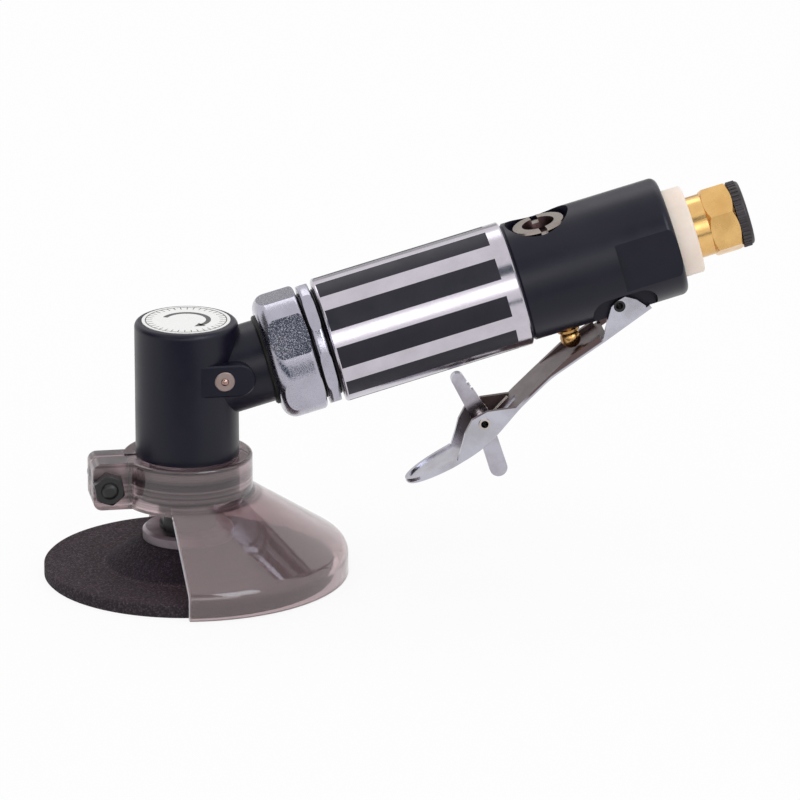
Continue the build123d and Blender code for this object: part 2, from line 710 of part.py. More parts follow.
def make_angle_head():
    """The cast head: an upright gear case with a slanted neck, a flange for the nut and an oiler boss."""
    case = round_edges(rod(HEAD_RADIUS, HEAD_BOTTOM, HEAD_TOP), HEAD_RIM_ROUND, [HEAD_TOP])
    flange = rod(NECK_FLANGE_RADIUS, NECK_END - NECK_FLANGE_THICKNESS, NECK_END)
    neck = HANDLE * (rod(NECK_RADIUS, 0, NECK_END) + flange)
    boss_length = BOSS_REACH - BOSS_HEIGHT / 2
    face = Plane(origin=(0, 0, BOSS_CENTRE), x_dir=(1, 0, 0), z_dir=(0, -1, 0))
    pad = Pos(boss_length / 2, 0) * Rectangle(boss_length, BOSS_HEIGHT)
    pad += Pos(boss_length, 0) * Circle(BOSS_HEIGHT / 2)
    boss = extrude(face * pad, BOSS_FACE)
    boss = chamfer(boss.faces().sort_by(Axis.Y)[0].edges(), 0.5)
    head = case + neck + boss

    cavity = rod(HEAD_CAVITY_RADIUS, HEAD_BOTTOM, BUSH_START)
    thread = rod(NOSE_SPIGOT_RADIUS + FIT, HEAD_BOTTOM, HEAD_BOTTOM + NOSE_SPIGOT_LENGTH)
    bush_seat = rod(UPPER_BUSH_RADIUS, BUSH_START, BUSH_START + UPPER_BUSH_LENGTH)
    gear_bore = rod(PINION_BEARING_RADIUS - 0.5, 0, PINION_BEARING_START)
    bearing_bore = rod(PINION_BEARING_RADIUS, PINION_BEARING_START, NECK_END)
    clip_end = PINION_BEARING_END + CIRCLIP_THICKNESS
    clip_groove = rod(PINION_BEARING_RADIUS + CIRCLIP_DEPTH, PINION_BEARING_END, clip_end)
    label_recess = rod(LABEL_RADIUS + RUNNING, HEAD_TOP - LABEL_SINK, HEAD_TOP)
    oiler_hole = OILER_FRAME * rod(OILER_RADIUS, 0, OILER_DEPTH)
    return (
        head
        - [cavity, thread, bush_seat, label_recess, oiler_hole]
        - [HANDLE * gear_bore, HANDLE * bearing_bore, HANDLE * clip_groove]
    )


def make_head_label():
    """The thin disc let into the head's top."""
    return rod(LABEL_RADIUS, HEAD_TOP - LABEL_SINK, HEAD_TOP - LABEL_SINK + LABEL_THICKNESS)


def make_upper_bush():
    """The bush in the head's roof that steadies the spindle's upper journal."""
    end = BUSH_START + UPPER_BUSH_LENGTH
    return ring(SPINDLE_JOURNAL_RADIUS + RUNNING, UPPER_BUSH_RADIUS - FIT, BUSH_START, end)


OILER_MOUTH = OILER_DEPTH + OILER_PROUD
OILER_BALL_HEIGHT = OILER_MOUTH - OILER_BALL_RADIUS / 2


def make_oiler_ring():
    """The pressed-in oiler body with the lip that keeps its ball."""
    bore = OILER_BALL_RADIUS + 0.1
    mouth = sqrt(OILER_BALL_RADIUS**2 - (OILER_BALL_RADIUS / 2) ** 2) + RUNNING
    body = turned(
        (bore, 0),
        (OILER_RADIUS - FIT, 0),
        (OILER_RADIUS - FIT, OILER_MOUTH - 0.3),
        (OILER_RADIUS - 0.3, OILER_MOUTH),
        (mouth, OILER_MOUTH),
        (bore, OILER_MOUTH - 0.3),
    )
    return OILER_FRAME * body


def make_oiler_ball():
    """The ball that an oil can's nozzle presses in."""
    return OILER_FRAME * Pos(0, 0, OILER_BALL_HEIGHT) * Sphere(OILER_BALL_RADIUS)


# Coupling and motor


def turned_hexagon(across, radius, start, end, front_round, rear_round, lift):
    """A hexagon cut on a turned blank whose ends are rounded, so its flats come out barrel-shaped."""
    blank = rod(radius, start, end)
    blank = round_edges(blank, front_round, [start])
    blank = round_edges(blank, rear_round, [end])
    return blank & hexagon(across, start, end, lift)


def make_coupling_nut():
    """The big nut that pulls the neck's flange against the motor housing."""
    nut = turned_hexagon(
        NUT_ACROSS, NUT_TURNED_RADIUS, NUT_START, NUT_END, NUT_FRONT_ROUND, NUT_REAR_ROUND, NUT_FLAT_LIFT
    )
    lip = rod(NECK_RADIUS + LOOSE, NUT_START, NUT_START + NUT_LIP)
    bore = rod(NOSE_THREAD_RADIUS + RUNNING, NUT_START + NUT_LIP, NUT_END)
    return HANDLE * (nut - lip - bore)


def make_neck_seal():
    """The black ring round the neck that keeps dust out of the coupling nut."""
    start = NUT_START - SEAL_LENGTH
    seal = turned(
        (NECK_RADIUS + FIT, start),
        (SEAL_RADIUS - SEAL_ROUND, start),
        (SEAL_RADIUS, start + SEAL_ROUND),
        (SEAL_RADIUS, NUT_START),
        (NECK_RADIUS + FIT, NUT_START),
    )
    return HANDLE * seal


def make_lock_ring():
    """The thin hexagon that locks the coupling nut."""
    nut = turned_hexagon(
        LOCK_ACROSS, LOCK_TURNED_RADIUS, LOCK_START, LOCK_END, LOCK_ROUND, LOCK_ROUND, LOCK_FLAT_LIFT
    )
    return HANDLE * (nut - rod(NOSE_THREAD_RADIUS + RUNNING, LOCK_START, LOCK_END))


def strip_sector(inner, outer, start, end, angle):
    """A curved strip of the sleeve's wall, centred on the handle's -Y side and turned by an angle."""
    blank = ring(inner, outer, start, end)
    half = radians(STRIP_WIDTH_ANGLE / 2)
    reach = 2 * outer
    wide, long = reach * sin(half), reach * cos(half)
    wedge = polygon((0, 0), (-wide, long), (wide, long))
    cutter = Pos(0, 0, start) * extrude(wedge, end - start)
    return Rot(0, 0, angle) * (blank & cutter)


def strip_set(outer):
    """The ring of strips out to a radius, or of the recesses that hold them."""
    start = SLEEVE_START + STRIP_FRONT_MARGIN
    end = SLEEVE_END - STRIP_REAR_MARGIN
    inner = SLEEVE_RADIUS - STRIP_DEPTH
    angles = [index * 360 / STRIP_COUNT for index in range(STRIP_COUNT)]
    return [strip_sector(inner, outer, start, end, angle) for angle in angles]


def make_motor_housing():
    """The plated motor tube with its threaded nose and shallow recesses for the grip strips."""
    tube = turned(
        (NOSE_BORE_RADIUS, NECK_END),
        (NOSE_THREAD_RADIUS - 0.6, NECK_END),
        (NOSE_THREAD_RADIUS, NECK_END + 0.6),
        (NOSE_THREAD_RADIUS, SLEEVE_START),
        (SLEEVE_RADIUS - SLEEVE_ROUND, SLEEVE_START),
        (SLEEVE_RADIUS, SLEEVE_START + SLEEVE_ROUND),
        (SLEEVE_RADIUS, SLEEVE_END - SLEEVE_ROUND),
        (SLEEVE_RADIUS - SLEEVE_ROUND, SLEEVE_END),
        (SLEEVE_BORE, SLEEVE_END),
        (SLEEVE_BORE, FRONT_PLATE),
        (NOSE_BORE_RADIUS, FRONT_PLATE),
    )
    return HANDLE * (tube - strip_set(SLEEVE_RADIUS + 1))


def make_grip_strips():
    """The dark strips let into the motor tube."""
    return [HANDLE * strip for strip in strip_set(SLEEVE_RADIUS - STRIP_SINK)]


def make_front_plate():
    """The motor's front end plate with its bearing pocket."""
    return HANDLE * end_plate(FRONT_PLATE, FRONT_PLATE + ROTOR_BEARING_WIDTH, LINER_START)


def make_rear_plate():
    """The motor's rear end plate, with its bearing pocket and air ports."""
    plate = end_plate(REAR_PLATE_END, REAR_BEARING, LINER_END)
    radius = (ROTOR_BEARING_RADIUS + SLEEVE_BORE) / 2
    port = Pos(radius, 0, 0) * rod(PORT_RADIUS, LINER_END, REAR_PLATE_END)
    return HANDLE * (plate - [Rot(0, 0, angle) * port for angle in PLATE_PORT_ANGLES])


def end_plate(pocket_mouth, pocket_floor, liner_face):
    """An end plate between its bearing pocket's mouth and the liner, clear of the inner ring."""
    low, high = sorted((pocket_mouth, liner_face))
    plate = rod(SLEEVE_BORE - RUNNING, low, high)
    pocket = rod(ROTOR_BEARING_RADIUS, *sorted((pocket_mouth, pocket_floor)))
    hole = rod(ROTOR_SHAFT_RADIUS + LOOSE, *sorted((pocket_floor, liner_face)))
    relief_floor = pocket_floor + (liner_face - pocket_floor) * PLATE_RELIEF
    relief = rod((ROTOR_SHAFT_RADIUS + ROTOR_BEARING_RADIUS) / 2, *sorted((pocket_floor, relief_floor)))
    return plate - pocket - hole - relief


def make_cylinder_liner():
    """The vane motor's cylinder: its bore is offset from the shaft and has a row of exhaust ports."""
    liner = rod(SLEEVE_BORE - RUNNING, LINER_START, LINER_END)
    liner = liner - Pos(LINER_OFFSET, 0, 0) * rod(LINER_BORE_RADIUS, LINER_START, LINER_END)
    pitch = LINER_LENGTH / (PORT_COUNT + 1)
    port = Pos(0, SLEEVE_BORE, LINER_START) * Rot(90, 0, 0) * Cylinder(PORT_RADIUS, SLEEVE_BORE)
    ports = [Pos(0, 0, pitch * (index + 1)) * port for index in range(PORT_COUNT)]
    return HANDLE * (liner - ports)


def make_rotor():
    """The rotor and its stepped shaft, slotted for the vanes."""
    body_start = LINER_START + ROTOR_END_GAP
    body_end = LINER_END - ROTOR_END_GAP
    toe, _ = root_corners(PINION_ANGLE)
    rotor = turned(
        (0, toe[1] + TOOTH_SINK),
        (PINION_SEAT_RADIUS, toe[1] + TOOTH_SINK),
        (PINION_SEAT_RADIUS, PINION_BEARING_START),
        (PINION_BEARING_BORE, PINION_BEARING_START),
        (PINION_BEARING_BORE, PINION_BEARING_END),
        (ROTOR_SHAFT_RADIUS, PINION_BEARING_END),
        (ROTOR_SHAFT_RADIUS, body_start),
        (ROTOR_RADIUS, body_start),
        (ROTOR_RADIUS, body_end),
        (ROTOR_SHAFT_RADIUS, body_end),
        (ROTOR_SHAFT_RADIUS, REAR_PLATE_END),
        (0, REAR_PLATE_END),
    )
    slots = [vane_block(index, VANE_SLACK, ROTOR_RADIUS + 1) for index in range(VANE_COUNT)]
    return HANDLE * (rotor - slots)


def vane_block(index, slack, outer):
    """One vane, or the slot that it slides in."""
    floor = ROTOR_RADIUS - VANE_DEPTH - slack
    start = LINER_START + ROTOR_END_GAP
    length = LINER_LENGTH - 2 * ROTOR_END_GAP
    foot = (Align.MIN, Align.CENTER, Align.MIN)
    block = Box(outer - floor, VANE_THICKNESS + 2 * slack, length, align=foot)
    return Rot(0, 0, index * 360 / VANE_COUNT) * Pos(floor, 0, start) * block


def make_rotor_vanes():
    """The vanes, drawn fully into their slots."""
    return [HANDLE * vane_block(index, 0, ROTOR_RADIUS) for index in range(VANE_COUNT)]


# Valve housing and what it holds


def pocket_block(side):
    """The side pocket for one ear of the lever."""
    outer = HOUSING_RADIUS + 2
    front, rear = PIVOT_S + POCKET_FRONT, PIVOT_S + POCKET_REAR
    top, bottom = PIVOT_H + POCKET_TOP, -HOUSING_RADIUS - 2
    corner = min(POCKET_TOP, (rear - front) / 4)
    outline = RectangleRounded(rear - front, top - bottom, corner)
    place = Pos((front + rear) / 2, (top + bottom) / 2)
    block = extrude(SIDE * place * outline, outer - TONGUE_HALF_WIDTH)
    return Pos(0, -TONGUE_HALF_WIDTH, 0) * block if side < 0 else Pos(0, outer, 0) * block


def make_valve_housing():
    """The black rear housing: front spigot, cross bore, lever pockets, spanner flats and passages."""
    body = turned(
        (SPIGOT_BORE_RADIUS, REAR_PLATE_END),
        (SLEEVE_BORE - RUNNING, REAR_PLATE_END),
        (SLEEVE_BORE - RUNNING, SLEEVE_END),
        (HOUSING_RADIUS - FRONT_RELIEF, SLEEVE_END),
        (HOUSING_RADIUS - FRONT_RELIEF, SLEEVE_END + FRONT_RELIEF),
        (HOUSING_RADIUS, SLEEVE_END + 2 * FRONT_RELIEF),
        (HOUSING_RADIUS, HOUSING_END),
        (0, HOUSING_END),
        (0, SLEEVE_END - 2),
        (SPIGOT_BORE_RADIUS, SLEEVE_END - 2),
    )
    body = round_edges(body, HOUSING_REAR_ROUND, [HOUSING_END])
    flat = Box(4 * HOUSING_RADIUS, 2 * WRENCH_FLAT_DEPTH, WRENCH_FLAT_LENGTH)
    flat_middle = HOUSING_END - WRENCH_FLAT_LENGTH / 2
    flats = [Pos(0, side * HOUSING_RADIUS, flat_middle) * flat for side in (-1, 1)]
    shank = rod(INLET_SHANK_RADIUS, HOUSING_END - INLET_SHANK_LENGTH - SCREEN_THICKNESS, HOUSING_END)
    passage = rod(INLET_PASSAGE_RADIUS, VALVE_S, HOUSING_END)
    exhausts = [
        Rot(0, 0, angle) * Pos(EXHAUST_CIRCLE, 0, 0) * rod(EXHAUST_RADIUS, SLEEVE_END - 2, HOUSING_END)
        for angle in EXHAUST_ANGLES
    ]
    feed_height = SEAT_TOP - SEAT_LENGTH / 2
    feed = Pos(feed_height, 0, 0) * rod(FEED_PASSAGE_RADIUS, SLEEVE_END - 2, VALVE_S)
    housing = HANDLE * (body - flats - shank - passage - exhausts - feed)

    guide_bottom = SEAT_TOP - SEAT_LENGTH - GUIDE_LENGTH
    spot = rod(SPOT_RADIUS, SPOT_HEIGHT, HOUSING_RADIUS + 1)
    chamber = rod(CHAMBER_RADIUS, guide_bottom, SPOT_HEIGHT)
    button_bore = rod(BUTTON_BORE_RADIUS, -HOUSING_RADIUS - 1, guide_bottom)
    lower_spot = rod(LOWER_SPOT_RADIUS, -HOUSING_RADIUS - 1, LOWER_SPOT_DEPTH - HOUSING_RADIUS)
    pin_hole = cross_rod(PIN_RADIUS + FIT, PIVOT_S, PIVOT_H, HOUSING_RADIUS)
    cuts = [VALVE * spot, VALVE * chamber, VALVE * button_bore, VALVE * lower_spot, pin_hole]
    return housing - cuts - [pocket_block(-1), pocket_block(1)]


def make_regulator():
    """The plated knob that sets the air flow: a dished well, a slot across its face and a barrel below."""
    top = SPOT_HEIGHT + KNOB_THICKNESS
    bottom = SPOT_HEIGHT - BARREL_LENGTH
    groove = SPOT_HEIGHT - BARREL_LENGTH / 2
    barrel = CHAMBER_RADIUS - RUNNING
    groove_floor = barrel - 2 * BARREL_RING_WIRE
    knob = turned(
        (0, bottom),
        (barrel, bottom),
        (barrel, groove - BARREL_RING_WIRE),
        (groove_floor, groove - BARREL_RING_WIRE),
        (groove_floor, groove + BARREL_RING_WIRE),
        (barrel, groove + BARREL_RING_WIRE),
        (barrel, SPOT_HEIGHT + RUNNING),
        (KNOB_RADIUS, SPOT_HEIGHT + RUNNING),
        (KNOB_RADIUS, top - KNOB_ROUND),
        (KNOB_RADIUS - KNOB_ROUND, top),
        (KNOB_WELL_RADIUS, top),
        (KNOB_WELL_FLOOR, top - KNOB_WELL_DEPTH),
        (0, top - KNOB_WELL_DEPTH),
    )
    slot = Rot(0, 0, KNOB_SLOT_TURN) * Box(KNOB_SLOT, 3 * KNOB_RADIUS, 2 * KNOB_SLOT_DEPTH)
    return VALVE * (knob - Pos(0, 0, top) * slot)


def make_regulator_oring():
    """The ring that seals the regulator's barrel."""
    wire = BARREL_RING_WIRE - RUNNING
    height = SPOT_HEIGHT - BARREL_LENGTH / 2
    return VALVE * Pos(0, 0, height) * Torus(CHAMBER_RADIUS - RUNNING - BARREL_RING_WIRE, wire)


def make_valve_seat():
    """The seat that the throttle valve closes on, with its side port to the motor."""
    seat = ring(SEAT_BORE_RADIUS, CHAMBER_RADIUS - FIT, SEAT_TOP - SEAT_LENGTH, SEAT_TOP)
    height = SEAT_TOP - SEAT_LENGTH / 2
    port = Rot(0, 90, 0) * Cylinder(FEED_PASSAGE_RADIUS, CHAMBER_RADIUS)
    return VALVE * (seat - Pos(-CHAMBER_RADIUS, 0, height) * port)


def make_stem_guide():
    """The bush below the seat that guides the valve's stem."""
    top = SEAT_TOP - SEAT_LENGTH
    return VALVE * ring(GUIDE_BORE_RADIUS, CHAMBER_RADIUS - FIT, top - GUIDE_LENGTH, top)


def lever_height(corners, station):
    """The height of a lever outline, from its corner points, at a station along the handle."""
    for (s0, h0), (s1, h1) in zip(corners, corners[1:]):
        if s1 <= station <= s0:
            return h0 + (h1 - h0) * (station - s0) / (s1 - s0)
    raise ValueError("the station is off the lever")


def offset_corners(corners, distance):
    """An open outline's corners moved sideways by a distance, mitred at each bend."""
    moved = []
    for index, (s, h) in enumerate(corners):
        before = corners[max(index - 1, 0)]
        after = corners[min(index + 1, len(corners) - 1)]
        first = atan2(h - before[1], s - before[0]) if index else None
        last = atan2(after[1] - h, after[0] - s) if index < len(corners) - 1 else None
        angles = [angle for angle in (first, last) if angle is not None]
        turn = sum(a if a > 0 else a + 2 * pi for a in angles) / len(angles)
        spread = (angles[-1] - angles[0]) / 2
        reach = distance / cos(spread)
        moved.append((s + reach * sin(turn), h - reach * cos(turn)))
    return moved


OUTER_CORNERS = [(PIVOT_S + s, PIVOT_H + h) for s, h in LEVER_CORNERS]
WEB_CORNERS = offset_corners(OUTER_CORNERS, LEVER_SHEET)
RIM_CORNERS = offset_corners(OUTER_CORNERS, LEVER_RIM)
SPOON_CORNERS = offset_corners(OUTER_CORNERS, SPOON_RIM)
WEB_RISE = OUTER_CORNERS[1][1] - OUTER_CORNERS[2][1]
WEB_RUN = OUTER_CORNERS[1][0] - OUTER_CORNERS[2][0]
WEB_SLOPE = atan2(WEB_RISE, WEB_RUN)
BALL_HEIGHT = lever_height(WEB_CORNERS, VALVE_S) + (VALVE_BALL_RADIUS + BUTTON_GAP) / cos(WEB_SLOPE)


def make_throttle_valve():
    """The brass valve: head above the seat, stem, collar and the ball that the lever pushes."""
    head_top = SEAT_TOP + VALVE_HEAD_THICKNESS
    collar_bottom = BALL_HEIGHT + VALVE_BALL_RADIUS - 0.8
    valve = turned(
        (0, BALL_HEIGHT),
        (VALVE_STEM_RADIUS, BALL_HEIGHT),
        (VALVE_STEM_RADIUS, collar_bottom),
        (VALVE_COLLAR_RADIUS, collar_bottom),
        (VALVE_COLLAR_RADIUS, collar_bottom + VALVE_COLLAR_LENGTH),
        (VALVE_STEM_RADIUS, collar_bottom + VALVE_COLLAR_LENGTH),
        (VALVE_STEM_RADIUS, SEAT_TOP),
        (VALVE_HEAD_RADIUS, SEAT_TOP),
        (VALVE_HEAD_RADIUS, head_top - 0.6),
        (VALVE_HEAD_RADIUS - 0.6, head_top),
        (0, head_top),
    )
    return VALVE * (valve + Pos(0, 0, BALL_HEIGHT) * Sphere(VALVE_BALL_RADIUS))


# Springs


def biarc(start, start_way, end, end_way):
    """Two arcs that join two points and keep both directions."""
    span = end - start
    ways = start_way + end_way
    bend = 2 * (1 - start_way.dot(end_way))
    along = span.dot(ways)
    reach = (sqrt(along**2 + bend * span.dot(span)) - along) / bend
    middle = (start + end + (start_way - end_way) * reach) * 0.5
    first = Edge.make_tangent_arc(start, start_way, middle)
    return [first, Edge.make_tangent_arc(middle, first.tangent_at(1), end)]


def coil_edges(radius, pitch, turns, quarters=4):
    """A coil about +Z from height zero, as arcs of a quarter turn, and its end points and directions."""
    rise = pitch / (2 * pi)
    steps = [index * 2 * pi / quarters for index in range(int(turns * quarters) + 1)]
    points = [Vector(radius * cos(a), radius * sin(a), rise * a) for a in steps]
    ways = [Vector(-radius * sin(a), radius * cos(a), rise).normalized() for a in steps]
    edges = []
    for index in range(len(steps) - 1):
        edges += biarc(points[index], ways[index], points[index + 1], ways[index + 1])
    return edges, (points[0], ways[0]), (points[-1], ways[-1])


def wire_solid(edges, wire_radius):
    """A round wire swept along joined edges."""
    path = Wire(edges)
    section = Plane(origin=path.position_at(0), z_dir=path.tangent_at(0)) * Circle(wire_radius)
    return sweep(section, path=path)


def least_gap(edges, wire_radius, apart):
    """The least gap between stretches of a wire that are further apart along it than a given length."""
    path = Wire(edges)
    count = ceil(path.length / (wire_radius * 2))
    points = [path.position_at(index / count) for index in range(count + 1)]
    step = path.length / count
    skip = ceil(apart / step)
    pairs = ((a, b) for index, a in enumerate(points) for b in points[index + skip :])
    return min((a - b).length for a, b in pairs) - 2 * wire_radius


def make_valve_spring():
    """The coil spring that holds the throttle valve on its seat."""
    bottom = SEAT_TOP + VALVE_HEAD_THICKNESS + VALVE_SPRING_WIRE + RUNNING
    top = SPOT_HEIGHT - BARREL_LENGTH - VALVE_SPRING_WIRE - RUNNING
    pitch = (top - bottom) / VALVE_SPRING_TURNS
    edges, _, _ = coil_edges(VALVE_SPRING_RADIUS, pitch, VALVE_SPRING_TURNS)
    gap = least_gap(edges, VALVE_SPRING_WIRE, pi * VALVE_SPRING_RADIUS)
    print("valve spring least gap", round(gap, 2))
    return VALVE * Pos(0, 0, bottom) * wire_solid(edges, VALVE_SPRING_WIRE)


def make_catch_spring():
    """The torsion spring round the catch's pin, with a leg along the lever's web."""
    edges, first, last = coil_edges(CATCH_SPRING_RADIUS, CATCH_SPRING_PITCH, CATCH_SPRING_TURNS)
    start, way = first
    end, end_way = last
    leg = Edge.make_line(start - way * CATCH_SPRING_LEG, start)
    hook = Edge.make_line(end, end + end_way * CATCH_SPRING_RADIUS)
    edges = [leg] + edges + [hook]
    gap = least_gap(edges, CATCH_SPRING_WIRE, pi * CATCH_SPRING_RADIUS)
    print("catch spring least gap", round(gap, 2))
    dip = (start - leg.position_at(0)).Z
    seat = CATCH_THICKNESS / 2 + LOOSE + CATCH_SPRING_WIRE + dip
    pivot = (SIDE * Pos(CATCH_S, CATCH_H)).position
    frame = Plane(origin=pivot, x_dir=ALONG, z_dir=(0, 1, 0))
    spring = Rot(0, 0, CATCH_SPRING_TURN) * wire_solid(edges, CATCH_SPRING_WIRE)
    return frame * Pos(0, 0, seat) * spring


# Lever and safety catch


def lever_curve(corners):
    """A lever outline as straight runs joined by gentle bends."""
    return FilletPolyline(*corners, radius=LEVER_BEND_RADIUS)


def lever_band(lower, upper):
    """The side-view face between two lever outlines."""
    low, high = lever_curve(lower), lever_curve(upper)
    return make_face([low, high, Line(low @ 0, high @ 0), Line(low @ 1, high @ 1)])


def lever_plan(inset, rear):
    """The lever's outline from below: straight sides and a rounded spoon end."""
    half = LEVER_WIDTH / 2 - inset
    tip = OUTER_CORNERS[-1][0]
    shoulder = tip + SPOON_LENGTH
    sides = Pos((shoulder + rear) / 2, 0) * Rectangle(rear - shoulder, 2 * half)
    return sides + Pos(shoulder, 0) * Ellipse(SPOON_LENGTH - inset, half)


def from_pivot(points):
    """Places given from the lever's pivot, along and above the handle's axis."""
    return [(PIVOT_S + s, PIVOT_H + h) for s, h in points]


def round_lever_edges(lever):
    """Rounds the lever's long outer edges, where the sheet is folded up into its sides."""
    folds = []
    for edge in lever.edges():
        places = [SIDE.to_local_coords(edge.position_at(share)) for share in (0.02, 0.5, 0.98)]
        inside = all(OUTER_CORNERS[-1][0] + 1 < p.X < OUTER_CORNERS[0][0] for p in places)
        if not inside or any(abs(abs(p.Z) - LEVER_WIDTH / 2) > 1e-3 for p in places):
            continue
        if all(abs(p.Y - lever_height(OUTER_CORNERS, p.X)) < LEVER_SHEET / 2 for p in places):
            folds.append(edge)
    return fillet(folds, FOLD_RADIUS)


def make_throttle_lever():
    """The pressed lever: a shallow channel with two pairs of ears and a spoon end."""
    rear = OUTER_CORNERS[0][0]
    depth = -4 * HOUSING_RADIUS
    shell = side_prism(lever_band(OUTER_CORNERS, WEB_CORNERS), LEVER_WIDTH)
    spoon_start = PIVOT_S + FRONT_EAR[-1][0]
    spoon_rim = [corner for corner in SPOON_CORNERS if corner[0] < spoon_start]
    rear_rim = PIVOT_S + REAR_RIM_FULL
    sides = [
        from_pivot(REAR_EAR),
        from_pivot(FRONT_EAR),
        [(spoon_start, lever_height(SPOON_CORNERS, spoon_start)), *spoon_rim],
        [
            (RIM_CORNERS[1][0], RIM_CORNERS[1][1]),
            (rear_rim, lever_height(RIM_CORNERS, rear_rim)),
            (PIVOT_S + REAR_RIM_START, lever_height(WEB_CORNERS, PIVOT_S + REAR_RIM_START)),
        ],
    ]
    for corners in sides:
        front, back = corners[-1][0], corners[0][0]
        between = [s for s, _ in reversed(OUTER_CORNERS) if front < s < back]
        foot = [
            (s, lever_height(OUTER_CORNERS, max(s, OUTER_CORNERS[-1][0])) + LEVER_SHEET / 2)
            for s in (front, *between, back)
        ]
        shell += side_prism(polygon(*corners, *foot), LEVER_WIDTH)
    below = Plane(PLAN.origin + ABOVE * depth, PLAN.x_dir, PLAN.z_dir)
    shell = shell & below * extrude(lever_plan(0, rear), -depth)
    web = lever_curve(WEB_CORNERS)
    above_web = Polyline(web @ 1, (WEB_CORNERS[-1][0], 0), (WEB_CORNERS[0][0], 0), web @ 0)
    inner_plan = extrude(lever_plan(LEVER_SHEET, rear + LEVER_SHEET), -depth)
    hollow = side_prism(make_face([web, above_web]), LEVER_WIDTH) & below * inner_plan
    inner_width = LEVER_WIDTH - 2 * LEVER_SHEET
    open_rear = side_prism(side_box(PIVOT_S + LEVER_WEB_END, 2 * rear, depth, 0), inner_width)
    slot_front, slot_rear = CATCH_S + CATCH_SLOT_FRONT, CATCH_S + CATCH_SLOT_REAR
    slot_face = side_box(slot_front, slot_rear, depth, CATCH_H + CATCH_SLOT_TOP)
    slot = side_prism(slot_face, CATCH_THICKNESS + 2 * LOOSE)
    pivot_hole = cross_rod(PIN_RADIUS + RUNNING, PIVOT_S, PIVOT_H, LEVER_WIDTH)
    catch_hole = cross_rod(PIN_RADIUS + FIT, CATCH_S, CATCH_H, LEVER_WIDTH)
    lever = shell - hollow - open_rear - slot - pivot_hole - catch_hole
    return round_lever_edges(lever)


def hollow_pin(station, height, half_length):
    """A hollow pin across the handle."""
    bore = cross_rod(PIN_BORE_RADIUS, station, height, half_length)
    return cross_rod(PIN_RADIUS, station, height, half_length) - bore


def make_lever_pin():
    """The roll pin that the lever swings on."""
    return hollow_pin(PIVOT_S, PIVOT_H, LEVER_WIDTH / 2 - LOOSE)


def make_catch_pin():
    """The hollow rivet that the safety catch swings on."""
    return hollow_pin(CATCH_S, CATCH_H, LEVER_WIDTH / 2 + PIN_HEAD)


def make_safety_catch():
    """The lock-off catch: an arm towards the handle, a finger tab below, and notches near its tip."""
    pivot = Pos(CATCH_S, CATCH_H)
    left = [*CATCH_LEFT, (CATCH_END[0] - CATCH_END_RADIUS, CATCH_END[1])]
    right = [(CATCH_END[0] + CATCH_END_RADIUS, CATCH_END[1]), *CATCH_RIGHT]
    outline = polygon(*left, *right) + Pos(*CATCH_TIP) * Circle(CATCH_TIP_RADIUS)
    outline += Pos(*CATCH_END) * Circle(CATCH_END_RADIUS)
    outline -= [Pos(*place) * Circle(CATCH_NOTCH_RADIUS) for place in CATCH_NOTCHES]
    hole = cross_rod(PIN_RADIUS + RUNNING, CATCH_S, CATCH_H, CATCH_THICKNESS)
    return side_prism(pivot * outline, CATCH_THICKNESS) - hole


# Inlet end


def make_muffler_ring():
    """The porous ring that quiets the exhaust."""
    muffler = ring(INLET_NECK_RADIUS + RUNNING, MUFFLER_RADIUS, HOUSING_END, MUFFLER_END)
    rear_edges = muffler.edges().filter_by(GeomType.CIRCLE).group_by(Axis.Z)[-1]
    return HANDLE * fillet(rear_edges.sort_by(SortBy.RADIUS)[-1], MUFFLER_ROUND)


def make_inlet_bushing():
    """The brass inlet: shank in the housing, neck, hexagon and the female pipe thread."""
    start = HOUSING_END - INLET_SHANK_LENGTH
    shank = rod(INLET_SHANK_RADIUS - FIT, start, HOUSING_END)
    neck = rod(INLET_NECK_RADIUS, HOUSING_END, HEX_START)
    corner_radius = INLET_HEX_ACROSS / sqrt(3)
    chamfered = turned(
        (0, HEX_START),
        (INLET_HEX_FACE, HEX_START),
        (corner_radius, HEX_START + INLET_HEX_CHAMFER),
        (corner_radius, HEX_END - INLET_HEX_CHAMFER),
        (INLET_HEX_FACE, HEX_END),
        (0, HEX_END),
    )
    nut = hexagon(INLET_HEX_ACROSS, HEX_START, HEX_END, INLET_FLAT_LIFT) & chamfered
    thread_end = HEX_END - PLUG_STEM_LENGTH - LOOSE
    thread = rod(INLET_THREAD_RADIUS, thread_end - INLET_THREAD_LENGTH, thread_end)
    counterbore = rod(PLUG_STEM_RADIUS + LOOSE, thread_end, HEX_END)
    passage = rod(INLET_PASSAGE_RADIUS, start, thread_end)
    return HANDLE * (shank + neck + nut - thread - counterbore - passage)


def make_inlet_screen():
    """The strainer disc trapped behind the inlet's shank."""
    end = HOUSING_END - INLET_SHANK_LENGTH
    disc = rod(INLET_SHANK_RADIUS - RUNNING, end - SCREEN_THICKNESS, end)
    hole = rod(SCREEN_HOLE_RADIUS, end - SCREEN_THICKNESS, end)
    holes = [Rot(0, 0, angle) * Pos(SCREEN_HOLE_CIRCLE, 0, 0) * hole for angle in range(0, 360, 60)]
    return HANDLE * (disc - [hole, *holes])


